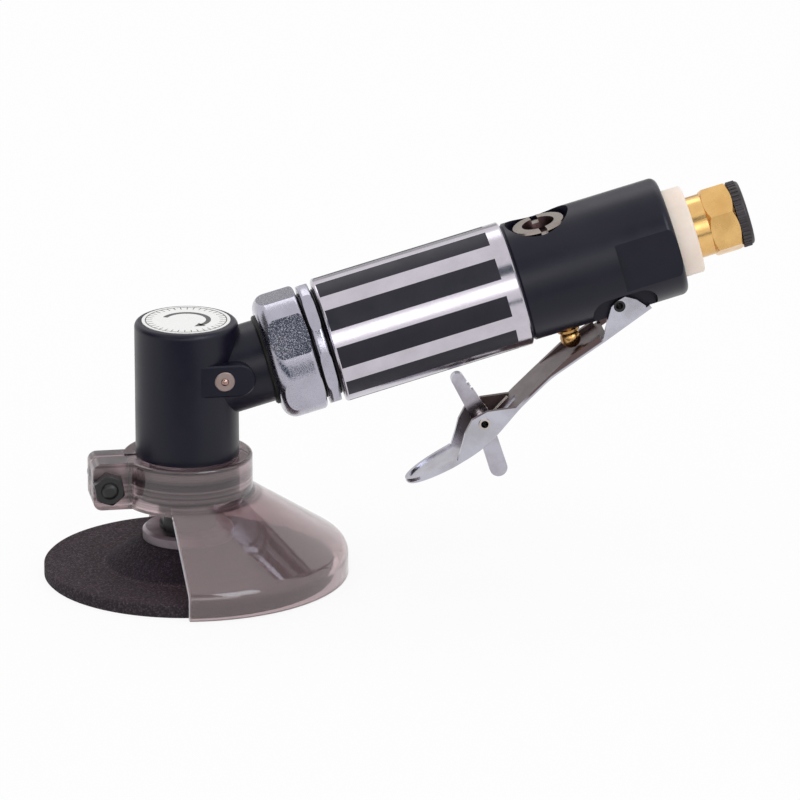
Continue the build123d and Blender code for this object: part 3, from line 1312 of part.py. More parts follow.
def make_dust_plug():
    """The push-in dust plug with a ribbed rim."""
    start = HEX_END
    end = start + PLUG_CAP_LENGTH
    cap = round_edges(rod(PLUG_CAP_RADIUS, start, end), PLUG_CAP_ROUND, [end])
    rib_length = PLUG_CAP_LENGTH - PLUG_CAP_ROUND
    ribs = [
        Rot(0, 0, index * 360 / PLUG_RIB_COUNT)
        * Pos(PLUG_CAP_RADIUS, 0, 0)
        * rod(PLUG_RIB_RADIUS, start, start + rib_length)
        for index in range(PLUG_RIB_COUNT)
    ]
    stem = rod(PLUG_STEM_RADIUS, start - PLUG_STEM_LENGTH, start)
    return HANDLE * (cap + ribs + stem)


# Guard


def make_wheel_guard():
    """The clear guard: a split collar with clamp lugs, a cone and a skirt, cut off ahead of the wheel."""
    slope = (GUARD_CONE_TOP - GUARD_SHOULDER) / (GUARD_RADIUS - COLLAR_RADIUS)
    drop = GUARD_WALL * hypot(1, slope)
    inner_collar = HEAD_RADIUS + RUNNING
    outline = FilletPolyline(
        (COLLAR_RADIUS, GUARD_CONE_TOP),
        (GUARD_RADIUS, GUARD_SHOULDER),
        (GUARD_RADIUS, GUARD_BOTTOM),
        radius=GUARD_SHOULDER_ROUND,
    )
    inner_radius = GUARD_RADIUS - GUARD_WALL
    inside = FilletPolyline(
        (COLLAR_RADIUS, GUARD_CONE_TOP - drop),
        (inner_radius, GUARD_SHOULDER - drop + GUARD_WALL * slope),
        (inner_radius, GUARD_BOTTOM),
        radius=GUARD_SHOULDER_ROUND - GUARD_WALL,
    )
    closing = [Line(outline @ 0, inside @ 0), Line(outline @ 1, inside @ 1)]
    shell = revolve(Plane.XZ * make_face([outline, inside, *closing]), Axis.Z)
    reach = 1.5 * GUARD_RADIUS
    flared = GUARD_CUT + reach * tan(radians(GUARD_FLARE))
    near, far = [(flared, -reach), (reach, -reach)], [(reach, reach), (flared, reach)]
    keep = extrude(polygon((GUARD_CUT, 0), *near, *far), HANDLE_HEIGHT)
    collar = round_edges(rod(COLLAR_RADIUS, COLLAR_BOTTOM, COLLAR_TOP), 1.0, [COLLAR_TOP])
    lug_height = COLLAR_TOP - COLLAR_BOTTOM
    lug_outline = RectangleRounded(LUG_REACH, lug_height, LUG_ROUND)
    lug_face = Plane.XZ * Pos(-LUG_REACH / 2, COLLAR_MIDDLE) * lug_outline
    lugs = extrude(lug_face, LUG_HALF_WIDTH) + extrude(lug_face, -LUG_BACK_WIDTH)
    bore = rod(inner_collar, 0, HANDLE_HEIGHT)
    slit = Pos(-LUG_REACH, 0, COLLAR_MIDDLE) * Box(2 * LUG_REACH, SLIT, 2 * lug_height)
    screw_hole = clamp_rod(CLAMP_SCREW_RADIUS + CLAMP_HOLE_SLACK, -LUG_BACK_WIDTH, LUG_HALF_WIDTH)
    return (shell & keep) + collar + lugs - bore - slit - screw_hole


def clamp_rod(radius, start, end):
    """A cylinder along the clamp screw's axis, towards -Y."""
    return CLAMP_FRAME * rod(radius, start, end)


def make_guard_screw():
    """The clamp screw, with a round head at the back and a domed end in front."""
    end = LUG_HALF_WIDTH + CLAMP_NUT_HEIGHT + CLAMP_SCREW_END
    head_end = -LUG_BACK_WIDTH - CLAMP_HEAD_HEIGHT
    screw = rod(CLAMP_SCREW_RADIUS, -LUG_BACK_WIDTH, end)
    screw = round_edges(screw, CLAMP_SCREW_RADIUS * 0.6, [end])
    head = rod(CLAMP_HEAD_RADIUS, head_end, -LUG_BACK_WIDTH)
    head = round_edges(head, CLAMP_HEAD_RADIUS * 0.4, [head_end])
    socket = hexagon(CLAMP_HEAD_RADIUS, head_end, head_end + CLAMP_HEAD_HEIGHT / 2)
    return CLAMP_FRAME * (screw + head - socket)


def make_guard_nut():
    """The hexagon nut on the clamp screw."""
    start, end = LUG_HALF_WIDTH, LUG_HALF_WIDTH + CLAMP_NUT_HEIGHT
    corner = CLAMP_NUT_ACROSS / sqrt(3)
    blank = turned((0, start), (corner, start), (corner, end - 0.8), (corner - 0.9, end), (0, end))
    nut = hexagon(CLAMP_NUT_ACROSS, start, end, CLAMP_NUT_TURN) & blank
    return CLAMP_FRAME * (nut - rod(CLAMP_SCREW_RADIUS + FIT, start, end))


# Assembly


def make_bearings():
    """The rings of the four bearings by node name."""
    nodes = {}
    outer, inner = bearing_rings(
        SPINDLE_SHAFT_RADIUS, SPINDLE_BEARING_RADIUS, NOSE_BOTTOM + NOSE_LIP, SPINDLE_BEARING_WIDTH
    )
    nodes["spindle_bearing_outer"], nodes["spindle_bearing_inner"] = outer, inner
    for name, bore, radius, start, width in (
        ("pinion", PINION_BEARING_BORE, PINION_BEARING_RADIUS, PINION_BEARING_START, PINION_BEARING_WIDTH),
        ("front_rotor", ROTOR_SHAFT_RADIUS, ROTOR_BEARING_RADIUS, FRONT_PLATE, ROTOR_BEARING_WIDTH),
        ("rear_rotor", ROTOR_SHAFT_RADIUS, ROTOR_BEARING_RADIUS, REAR_BEARING, ROTOR_BEARING_WIDTH),
    ):
        outer, inner = bearing_rings(bore, radius, start, width)
        nodes[name + "_bearing_outer"] = HANDLE * outer
        nodes[name + "_bearing_inner"] = HANDLE * inner
    return nodes


def make_nodes():
    """Every piece of the grinder by node name."""
    nodes = {
        "grinding_wheel": make_grinding_wheel(),
        "inner_flange": make_inner_flange(),
        "clamp_nut": make_clamp_nut(),
        "spindle": make_spindle(),
        "gear_key": make_gear_key(),
        "gear_nut": make_gear_nut(),
        "bevel_gear": make_bevel_gear(),
        "bevel_pinion": make_bevel_pinion(),
        "head_nose": make_head_nose(),
        "nose_circlip": circlip(SPINDLE_BEARING_RADIUS, BEARING_TOP),
        "nose_oring": make_nose_oring(),
        "angle_head_housing": make_angle_head(),
        "neck_circlip": HANDLE * circlip(PINION_BEARING_RADIUS, PINION_BEARING_END),
        "head_label": make_head_label(),
        "upper_spindle_bush": make_upper_bush(),
        "oiler_ring": make_oiler_ring(),
        "oiler_ball": make_oiler_ball(),
        "neck_seal": make_neck_seal(),
        "coupling_nut": make_coupling_nut(),
        "lock_ring": make_lock_ring(),
        "motor_housing": make_motor_housing(),
        "grip_strips": make_grip_strips(),
        "front_end_plate": make_front_plate(),
        "rear_end_plate": make_rear_plate(),
        "cylinder_liner": make_cylinder_liner(),
        "rotor": make_rotor(),
        "rotor_vanes": make_rotor_vanes(),
        "valve_housing": make_valve_housing(),
        "regulator": make_regulator(),
        "regulator_oring": make_regulator_oring(),
        "valve_seat": make_valve_seat(),
        "stem_guide": make_stem_guide(),
        "throttle_valve": make_throttle_valve(),
        "valve_spring": make_valve_spring(),
        "throttle_lever": make_throttle_lever(),
        "lever_pin": make_lever_pin(),
        "safety_catch": make_safety_catch(),
        "catch_pin": make_catch_pin(),
        "catch_spring": make_catch_spring(),
        "muffler_ring": make_muffler_ring(),
        "inlet_bushing": make_inlet_bushing(),
        "inlet_screen": make_inlet_screen(),
        "dust_plug": make_dust_plug(),
        "wheel_guard": make_wheel_guard(),
        "guard_screw": make_guard_screw(),
        "guard_nut": make_guard_nut(),
    }
    nodes.update(make_bearings())
    return nodes


os.makedirs("parts", exist_ok=True)
for node, shape in make_nodes().items():
    solid = Compound(children=shape) if isinstance(shape, list) else shape
    export_step(solid, os.path.join("parts", node + ".step"))
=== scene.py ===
"""Looks of the air angle grinder: its finishes, threads and dial print, and the studio round it."""

import logging
import math
from dataclasses import dataclass, field
from enum import Enum
from typing import Callable, Iterable, Mapping, Sequence

import bpy
from mathutils import Euler, Matrix, Vector


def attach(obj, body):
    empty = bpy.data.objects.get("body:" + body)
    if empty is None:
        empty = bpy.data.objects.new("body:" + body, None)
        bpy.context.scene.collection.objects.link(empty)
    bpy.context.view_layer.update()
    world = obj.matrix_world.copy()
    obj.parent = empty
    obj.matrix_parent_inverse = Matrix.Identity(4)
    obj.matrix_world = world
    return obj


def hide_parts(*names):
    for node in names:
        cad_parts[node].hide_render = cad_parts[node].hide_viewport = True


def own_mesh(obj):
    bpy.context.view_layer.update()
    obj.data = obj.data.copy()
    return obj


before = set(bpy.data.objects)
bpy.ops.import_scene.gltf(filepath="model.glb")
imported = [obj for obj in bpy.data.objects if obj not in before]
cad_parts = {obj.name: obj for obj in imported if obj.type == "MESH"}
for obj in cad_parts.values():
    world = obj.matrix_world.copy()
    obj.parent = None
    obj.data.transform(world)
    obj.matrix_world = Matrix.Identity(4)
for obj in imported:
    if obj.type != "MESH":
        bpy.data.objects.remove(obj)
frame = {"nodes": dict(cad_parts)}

LOG = logging.getLogger("grinder")
# Lengths are in metres and angles in radians, unless a line says otherwise
MM = 0.001
UP = Vector((0.0, 0.0, 1.0))
ASIDE = Vector((0.0, 1.0, 0.0))
MERGE_DISTANCE = 1e-6
SMOOTH_ANGLE = math.radians(40.0)
TOOTH_SHARE = 0.42
TOOTH_SINK = 0.05 * MM
GUARD_CUT = -9.8 * MM
GUARD_FLARE = 0.056
GUARD_COLLAR = 27.5 * MM
HANDLED_LIMITS = (0.38, 0.66)

Colour = tuple[float, float, float]
Place = tuple[float, float, float]
Limits = tuple[float, float]
Inputs = Mapping[str | int, object]
Socket = bpy.types.NodeSocket
Node = bpy.types.Node
Tree = bpy.types.NodeTree
Piece = bpy.types.Object


class Body(Enum):
    """The moving bodies that new pieces ride on."""

    TOOL = "body"
    GUARD = "guard"


class Turning(Enum):
    """Which axis a turned piece was made about."""

    SPINDLE = "spindle axis"
    HANDLE = "handle axis"
    VALVE = "valve axis"
    CATCH = "catch pin axis"


def stand(origin: Vector, across: Vector, upright: Vector) -> Matrix:
    """A matrix that places a local frame by its origin and where its X and Z axes point."""
    turn = Matrix((across, upright.cross(across), upright)).transposed().to_4x4()
    return Matrix.Translation(origin) @ turn


@dataclass(frozen=True)
class Handle:
    """The slanted axis of the motor handle.

    Attributes:
        tilt: How far the axis rises from the wheel's plane.
        height: Where the axis crosses the spindle.
        valve_station: Distance of the valve's cross bore along the axis.
        catch_pin: Middle of the safety catch's pin.
    """

    tilt: float = math.radians(15.0)
    height: float = 0.0685
    valve_station: float = 0.1319
    catch_pin: Place = (0.102383, 0.0, 0.05152)

    def along(self) -> Vector:
        """The direction from the head to the inlet."""
        return Vector((math.cos(self.tilt), 0.0, math.sin(self.tilt)))

    def above(self) -> Vector:
        """The direction square to the axis, upwards."""
        return Vector((-math.sin(self.tilt), 0.0, math.cos(self.tilt)))

    def point(self, station: float, rise: float = 0.0) -> Vector:
        """The place at a station along the axis and a rise above it."""
        return UP * self.height + self.along() * station + self.above() * rise

    def placement(self, station: float) -> Matrix:
        """A matrix that stands local +Z along the axis, from a station."""
        return stand(self.point(station), self.above(), self.along())

    def valve_placement(self, rise: float) -> Matrix:
        """A matrix that stands local +Z up the valve's cross bore, from a rise."""
        return stand(self.point(self.valve_station, rise), self.along(), self.above())


HANDLE = Handle()
TURNED: dict[Turning, tuple[Place, Vector]] = {
    Turning.HANDLE: ((0.0, HANDLE.tilt - math.pi / 2, 0.0), HANDLE.point(0.0)),
    Turning.VALVE: ((0.0, HANDLE.tilt, 0.0), HANDLE.point(HANDLE.valve_station)),
    Turning.CATCH: ((math.pi / 2, 0.0, 0.0), Vector(HANDLE.catch_pin)),
}


def bare_tree(owner: bpy.types.Material | bpy.types.World) -> Tree:
    """Gives a material or the world an empty node tree.

    Args:
        owner: The material or world.

    Returns:
        Its tree.
    """
    owner.use_nodes = True
    owner.node_tree.nodes.clear()
    return owner.node_tree


def grey(value: float, warm: float = 0.0) -> Colour:
    """A neutral colour from its brightness and how far it leans from blue to red."""
    return (value + warm, value, value - warm)


class ShaderTree:
    """Lays out the nodes of one material, world or node group."""

    def __init__(self, tree: Tree) -> None:
        """Keeps the tree that the nodes go into."""
        self.tree = tree

    def join(self, socket: Socket, value: object) -> None:
        """Gives an input its value or its link.

        Args:
            socket: The input.
            value: A socket to link, a number, a vector, or a colour without its alpha.
        """
        if isinstance(value, Socket):
            self.tree.links.new(value, socket)
        else:
            socket.default_value = (*value, 1.0) if socket.type == "RGBA" else value

    def feed(self, node: Node, inputs: Inputs) -> None:
        """Gives a node its inputs, by name or number."""
        for key, value in inputs.items():
            self.join(node.inputs[key], value)

    def add(self, kind: str, inputs: Inputs | None = None, **settings: object) -> Node:
        """Adds a node.

        Args:
            kind: The node's type name.
            inputs: Values or sockets for its inputs, by name or number.
            settings: Options set on the node itself.

        Returns:
            The new node.
        """
        node = self.tree.nodes.new(kind)
        for name, value in settings.items():
            setattr(node, name, value)
        self.feed(node, inputs or {})
        return node

    def math(self, operation: str, *values: object) -> Socket:
        """The result of a maths node, from its operation and its numbers or sockets."""
        return self.add("ShaderNodeMath", dict(enumerate(values)), operation=operation).outputs[0]

    def vector_math(self, operation: str, *values: object) -> Node:
        """A vector maths node, from its operation and its vectors or sockets."""
        return self.add("ShaderNodeVectorMath", dict(enumerate(values)), operation=operation)

    def place(self) -> Socket:
        """The place on the piece in the tool's frame."""
        return self.add("ShaderNodeTexCoord").outputs["Object"]

    def facing(self) -> Socket:
        """The direction that the surface faces, in the tool's frame."""
        return self.add("ShaderNodeTexCoord").outputs["Normal"]

    def along(self, vector: Socket, way: Vector) -> Socket:
        """How far a vector goes along a direction."""
        return self.vector_math("DOT_PRODUCT", vector, tuple(way)).outputs["Value"]

    def radius(self, place: Socket) -> Socket:
        """The distance of a place from its local Z axis."""
        flat = self.vector_math("MULTIPLY", place, (1.0, 1.0, 0.0))
        return self.vector_math("LENGTH", flat.outputs["Vector"]).outputs["Value"]

    def turned(self, turning: Turning) -> Socket:
        """The place on a turned piece, with the axis that it was turned about as Z.

        Args:
            turning: The axis.

        Returns:
            The place.
        """
        place = self.place()
        if turning not in TURNED:
            return place
        lean, origin = TURNED[turning]
        shift = tuple(-(Euler(lean).to_matrix() @ origin))
        inputs = {"Vector": place, "Rotation": lean, "Location": shift}
        return self.add("ShaderNodeMapping", inputs, vector_type="POINT").outputs["Vector"]

    def ramp(
        self, value: Socket, low: float, high: float, start: float = 0.0, end: float = 1.0
    ) -> Socket:
        """Maps a value from one range to another and keeps it inside.

        Args:
            value: The value to map.
            low: Where the old range starts.
            high: Where the old range ends.
            start: Where the new range starts.
            end: Where the new range ends.

        Returns:
            The mapped value.
        """
        names = ("Value", "From Min", "From Max", "To Min", "To Max")
        inputs = dict(zip(names, (value, low, high, start, end)))
        return self.add("ShaderNodeMapRange", inputs, clamp=True).outputs["Result"]

    def tint(self, factor: Socket, first: Socket | Colour, second: Colour) -> Socket:
        """Mixes two colours by a mask.

        Args:
            factor: The mask.
            first: The colour where the mask is 0.
            second: The colour where the mask is 1.

        Returns:
            The mixed colour.
        """
        node = self.add("ShaderNodeMix", {"Factor": factor}, data_type="RGBA")
        colours = [socket for socket in node.inputs if socket.type == "RGBA"]
        for socket, colour in zip(colours, (first, second)):
            self.join(socket, colour)
        return next(socket for socket in node.outputs if socket.type == "RGBA")

    def noise(
        self, place: Socket, scale: Socket, detail: float, roughness: Socket | float, size: str = "3D"
    ) -> Socket:
        """Noise from 0 to 1, by place, waves a metre, finer layers, their strength and dimensions."""
        inputs = {"Vector": place, "Scale": scale, "Detail": detail, "Roughness": roughness}
        return self.add("ShaderNodeTexNoise", inputs, noise_dimensions=size).outputs["Fac"]


class EffectGroup(ShaderTree):
    """A shader node group that several finishes share."""

    def __init__(self, name: str, inputs: Mapping[str, object], outputs: Sequence[str]) -> None:
        """Starts the group.

        Args:
            name: The group's name.
            inputs: The default of each input by name, a tuple for a vector.
            outputs: The names of its values.
        """
        group = bpy.data.node_groups.new(name, "ShaderNodeTree")
        for label, default in inputs.items():
            kind = "NodeSocketVector" if isinstance(default, tuple) else "NodeSocketFloat"
            socket = group.interface.new_socket(name=label, in_out="INPUT", socket_type=kind)
            socket.default_value = default
        for label in outputs:
            group.interface.new_socket(name=label, in_out="OUTPUT", socket_type="NodeSocketFloat")
        super().__init__(group)
        self.given = self.add("NodeGroupInput").outputs
        self.result = self.add("NodeGroupOutput")


class SurfaceEffects:
    """The effects that several finishes share, each a node group built once."""

    def __init__(self) -> None:
        """Builds every group."""
        self.grain = self._grain()
        self.handling = self._handling()
        self.lathe = self._lathe()

    @staticmethod
    def _grain() -> Tree:
        """Fine even grain, as on paint, moulded plastic and castings.

        Returns:
            The group.
        """
        group = EffectGroup("fine grain", {"Scale": 1000.0, "Roughness": 0.55}, ["Height"])
        given = group.given
        height = group.noise(group.place(), given["Scale"], detail=3.0, roughness=given["Roughness"])
        group.feed(group.result, {"Height": height})
        return group.tree

    @staticmethod
    def _handling() -> Tree:
        """Broad patches where handling has left a surface a little duller.

        Returns:
            The group.
        """
        values = {"Scale": 60.0, "Clean": 0.2, "Dull": 0.3}
        group = EffectGroup("handling marks", values, ["Roughness", "Mask"])
        given = group.given
        patches = group.noise(group.place(), given["Scale"], detail=5.0, roughness=0.6)
        mask = group.ramp(patches, *HANDLED_LIMITS)
        spread = group.math("SUBTRACT", given["Dull"], given["Clean"])
        roughness = group.math("MULTIPLY_ADD", mask, spread, given["Clean"])
        group.feed(group.result, {"Roughness": roughness, "Mask": mask})
        return group.tree

    @staticmethod
    def _lathe() -> Tree:
        """Fine rings left by a lathe, about the local Z axis of the place given.

        Returns:
            The group.
        """
        values = {"Place": (0.0, 0.0, 0.0), "Density": 2500.0}
        group = EffectGroup("lathe marks", values, ["Height"])
        place = group.given["Place"]
        height = group.add("ShaderNodeSeparateXYZ", {"Vector": place}).outputs["Z"]
        flat = group.add("ShaderNodeCombineXYZ", {"X": group.radius(place), "Y": height})
        flat_place, density = flat.outputs["Vector"], group.given["Density"]
        rings = group.noise(flat_place, density, detail=2.0, roughness=0.6, size="2D")
        group.feed(group.result, {"Height": rings})
        return group.tree


class Coat(ShaderTree):
    """The nodes of one finish's material, with its main shader."""

    def __init__(self, tree: Tree, effects: SurfaceEffects) -> None:
        """Starts the tree.

        Args:
            tree: The material's empty tree.
            effects: The shared node groups.
        """
        super().__init__(tree)
        self.effects = effects
        self.shader = self.add("ShaderNodeBsdfPrincipled")
        self.normal: Socket | None = None

    def effect(self, group: Tree, inputs: Inputs) -> Node:
        """A shared effect, with its values here."""
        return self.add("ShaderNodeGroup", inputs, node_tree=group)

    def handled(self, scale: float, clean: float, dull: float) -> tuple[Socket, Socket]:
        """Patches that handling has left.

        Args:
            scale: Patches a metre.
            clean: Roughness between them.
            dull: Roughness in them.

        Returns:
            Their mask and the roughness.
        """
        values = {"Scale": scale, "Clean": clean, "Dull": dull}
        marks = self.effect(self.effects.handling, values).outputs
        return marks["Mask"], marks["Roughness"]

    def grain(self, scale: float, roughness: float = 0.55) -> Socket:
        """The height of a fine grain, from its waves a metre and its roughness."""
        values = {"Scale": scale, "Roughness": roughness}
        return self.effect(self.effects.grain, values).outputs["Height"]

    def rings(self, place: Socket, density: float) -> Socket:
        """The height of rings round a place's Z axis, from their number a metre."""
        values = {"Place": place, "Density": density}
        return self.effect(self.effects.lathe, values).outputs["Height"]

    def relief(self, height: Socket, depth: float) -> None:
        """Bends the shader's normal, on top of any relief before.

        Args:
            height: The relief's height, from 0 to 1.
            depth: How deep it is.
        """
        bump = self.add("ShaderNodeBump", {"Strength": 1.0, "Distance": depth, "Height": height})
        if self.normal is not None:
            self.feed(bump, {"Normal": self.normal})
        self.normal = bump.outputs["Normal"]
        self.feed(self.shader, {"Normal": self.normal})

    def paint(self, colour: Socket, roughness: Socket, others: Inputs) -> None:
        """Gives the main shader its colour, its roughness and its other inputs by name."""
        self.feed(self.shader, {"Base Color": colour, "Roughness": roughness, **others})


class Finish:
    """A surface finish that makes its own material."""

    name: str

    def material(self, effects: SurfaceEffects) -> bpy.types.Material:
        """Makes the material.

        Args:
            effects: The shared node groups.

        Returns:
            The finished material.
        """
        material = bpy.data.materials.new(self.name)
        coat = Coat(bare_tree(material), effects)
        self.shade(coat)
        coat.add("ShaderNodeOutputMaterial", {"Surface": coat.shader.outputs["BSDF"]})
        return material

    def shade(self, coat: Coat) -> None:
        """Fills in the nodes of the finish's material."""
        raise NotImplementedError


@dataclass(frozen=True)
class Surface(Finish):
    """What paint, plastic and metal have in common.

    Attributes:
        name: The material's name.
        colour: Its colour where untouched.
        worn: The colour in its handled patches.
        clean: Roughness where untouched.
        dull: Roughness where handled.
        grain: Waves a metre of its grain or orange peel.
        grain_depth: Depth of the grain.
        patches: Handled patches a metre.
    """

    name: str
    colour: Colour
    worn: Colour
    clean: float
    dull: float
    grain: float = 1200.0
    grain_depth: float = 20e-6
    patches: float = 110.0


@dataclass(frozen=True)
class Opaque(Surface):
    """Paint, plastic, rubber or resin.

    Attributes:
        scatter: How far light goes into it, 0 for none.
        scatter_length: How far the scattered light goes.
        specular: How strongly it mirrors, 0.5 being plain.
    """

    scatter: float = 0.0
    scatter_length: float = 2.0 * MM
    specular: float = 0.5

    def shade(self, coat: Coat) -> None:
        """Fills in colour, gloss and grain.

        Args:
            coat: The material's nodes.
        """
        mask, roughness = coat.handled(self.patches, self.clean, self.dull)
        others: dict[str | int, object] = {"Specular IOR Level": self.specular}
        if self.scatter > 0.0:
            others |= {"Subsurface Weight": self.scatter, "Subsurface Scale": self.scatter_length}
        coat.paint(coat.tint(mask, self.colour, self.worn), roughness, others)
        coat.relief(coat.grain(self.grain), self.grain_depth)


@dataclass(frozen=True)
class Metal(Surface):
    """Bare or plated metal.

    Attributes:
        turning: The axis that lathe marks go round, if it was turned.
        ring_density: Lathe marks a metre.
        ring_depth: Depth of the lathe marks.
        speck: How much rougher the fine specks of a pebbled surface are.
        speck_count: Specks a metre.
        speck_limits: Heights of the grain where a speck starts and is full.
        shade_and_dip_colour: Colour of its darker part: painted shade in bores and folds, a black dip
            on the nose.
        inside_dull: How much rougher its darker part is.
        painted_inside_matte: How far the painted shade of its inside loses its metal look.
    """

    grain: float = 1500.0
    grain_depth: float = 4e-6
    patches: float = 90.0
    turning: Turning | None = None
    ring_density: float = 2500.0
    ring_depth: float = 6e-6
    speck: float = 0.0
    speck_count: float = 2300.0
    speck_limits: Limits = (0.5, 0.6)
    shade_and_dip_colour: Colour = (0.0, 0.0, 0.0)
    inside_dull: float = 0.15
    painted_inside_matte: float = 0.0

    def inside(self, coat: Coat) -> Socket | None:
        """A mask of its darker part (painted shade, the nose's black dip), or nothing for even metal.
        """
        return None

    def shade(self, coat: Coat) -> None:
        """Fills in colour, polish and machining marks.

        Args:
            coat: The material's nodes.
        """
        mask, roughness = coat.handled(self.patches, self.clean, self.dull)
        colour = coat.tint(mask, self.colour, self.worn)
        metallic: Socket | float = 1.0
        if self.speck > 0.0:
            specks = coat.grain(self.speck_count)
            rougher = coat.ramp(specks, *self.speck_limits, 0.0, self.speck)
            roughness = coat.math("ADD", roughness, rougher)
        # The darker part is painted shade in bores, wells and the lever's fold, and a black dip on
        # the nose
        inside = self.inside(coat)
        if inside is not None:
            colour = coat.tint(inside, colour, self.shade_and_dip_colour)
            roughness = coat.math("MULTIPLY_ADD", inside, self.inside_dull, roughness)
            if self.painted_inside_matte > 0.0:
                metallic = coat.math("MULTIPLY_ADD", inside, -self.painted_inside_matte, 1.0)
        coat.paint(colour, roughness, {"Metallic": metallic})
        coat.relief(coat.grain(self.grain), self.grain_depth)
        if self.turning is not None:
            rings = coat.rings(coat.turned(self.turning), self.ring_density)
            coat.relief(rings, self.ring_depth)


@dataclass(frozen=True)
class BoredMetal(Metal):
    """Metal with painted shade inside a bore or well round an axis.

    Attributes:
        axis: The axis of the bore.
        bore: The bore's radius.
        fade: Radius where the metal is plain again, as a share of the bore's.
    """

    axis: Turning = Turning.VALVE
    bore: float = MM
    fade: float = 1.03

    def inside(self, coat: Coat) -> Socket:
        """A mask of the bore, where shade is painted."""
        distance = coat.radius(coat.turned(self.axis))
        return coat.ramp(distance, self.bore, self.bore * self.fade, 1.0, 0.0)


@dataclass(frozen=True)
class DippedMetal(Metal):
    """Metal that is blackened above a level.

    Attributes:
        level: The height where it is wholly black.
        fade: How far below that the blackening starts.
    """

    level: float = 0.0
    fade: float = 0.2 * MM

    def inside(self, coat: Coat) -> Socket:
        """A mask of the blackened part."""
        return coat.ramp(coat.along(coat.place(), UP), self.level - self.fade, self.level)


@dataclass(frozen=True)
class PressedMetal(Metal):
    """Sheet metal with shade and reflection painted inside its fold and on the arm's sides.

    Attributes:
        faint_shade_end: Station along the handle up to which the painted shade on the upper face is
            faint.
        plain: Station from which the painted shade on the upper face is full.
        faint_shade: How strong the painted shade on the upper face is before that.
        pivot: Station and rise of the lever's pin.
        arm: Where the arm starts and ends along the handle from the pin.
        bend: Station and rise of the arm's bend from the pin.
        slopes: Rise of the arm for each metre behind and before its bend.
        bright_edge: Height of the bright edge along the arm's fold.
        upward: How far up a face looks where the inside starts and is full.
        inward: How far in a face looks, times its distance aside, where it is full and ends.
        sideways: How far aside a face looks where the arm's side starts and is full.
        fades: Widths of the arm's soft edges above its fold, at its start and at its end.
    """

    faint_shade_end: float = 0.081
    plain: float = 0.094
    faint_shade: float = 0.15
    pivot: tuple[float, float] = (150.6 * MM, -16.3 * MM)
    arm: tuple[float, float] = (-40.0 * MM, -9.0 * MM)
    bend: tuple[float, float] = (-29.5 * MM, -18.3 * MM)
    slopes: tuple[float, float] = (0.333, 0.538)
    bright_edge: float = 0.9 * MM
    upward: Limits = (0.35, 0.7)
    inward: Limits = (-4.0 * MM, -MM)
    sideways: Limits = (0.6, 0.85)
    fades: tuple[float, float, float] = (0.4 * MM, 2.0 * MM, 0.5 * MM)

    def inside(self, coat: Coat) -> Socket:
        """A mask of the faces that look into the fold and of the arm's sides, where shade and
        reflection are painted.

        Args:
            coat: The material's nodes.

        Returns:
            The mask.
        """
        place, normal = coat.place(), coat.facing()
        upward = coat.ramp(coat.along(normal, HANDLE.above()), *self.upward)
        station = coat.along(place, HANDLE.along())
        start = HANDLE.point(0.0).dot(HANDLE.along())
        gain = coat.ramp(station, start + self.faint_shade_end, start + self.plain, self.faint_shade, 1.0)
        facing = coat.math("MULTIPLY", coat.along(place, ASIDE), coat.along(normal, ASIDE))
        inward = coat.ramp(facing, *self.inward, 1.0, 0.0)
        folded = coat.math("MULTIPLY", coat.math("MAXIMUM", upward, inward), gain)
        return coat.math("MAXIMUM", folded, self._arm_side_shade(coat))

    def _arm_side_shade(self, coat: Coat) -> Socket:
        """A mask of the arm's outer sides above their bright edge, where shade is painted.

        Args:
            coat: The material's nodes.

        Returns:
            The mask.
        """
        place = coat.place()
        bend = HANDLE.point(self.pivot[0] + self.bend[0], self.pivot[1] + self.bend[1])
        station = coat.math("SUBTRACT", coat.along(place, HANDLE.along()), bend.dot(HANDLE.along()))
        rise = coat.math("SUBTRACT", coat.along(place, HANDLE.above()), bend.dot(HANDLE.above()))
        lines = [coat.math("MULTIPLY", station, slope) for slope in self.slopes]
        height = coat.math("SUBTRACT", rise, coat.math("MINIMUM", *lines))
        rise_fade, start_fade, end_fade = self.fades
        above = coat.ramp(height, self.bright_edge, self.bright_edge + rise_fade)
        start, end = (value - self.bend[0] for value in self.arm)
        after = coat.ramp(station, start - start_fade, start + start_fade)
        before = coat.ramp(station, end - end_fade, end + end_fade, 1.0, 0.0)
        aside = coat.math("ABSOLUTE", coat.along(coat.facing(), ASIDE))
        side = coat.ramp(aside, *self.sideways)
        span = coat.math("MULTIPLY", after, before)
        return coat.math("MULTIPLY", coat.math("MULTIPLY", above, side), span)


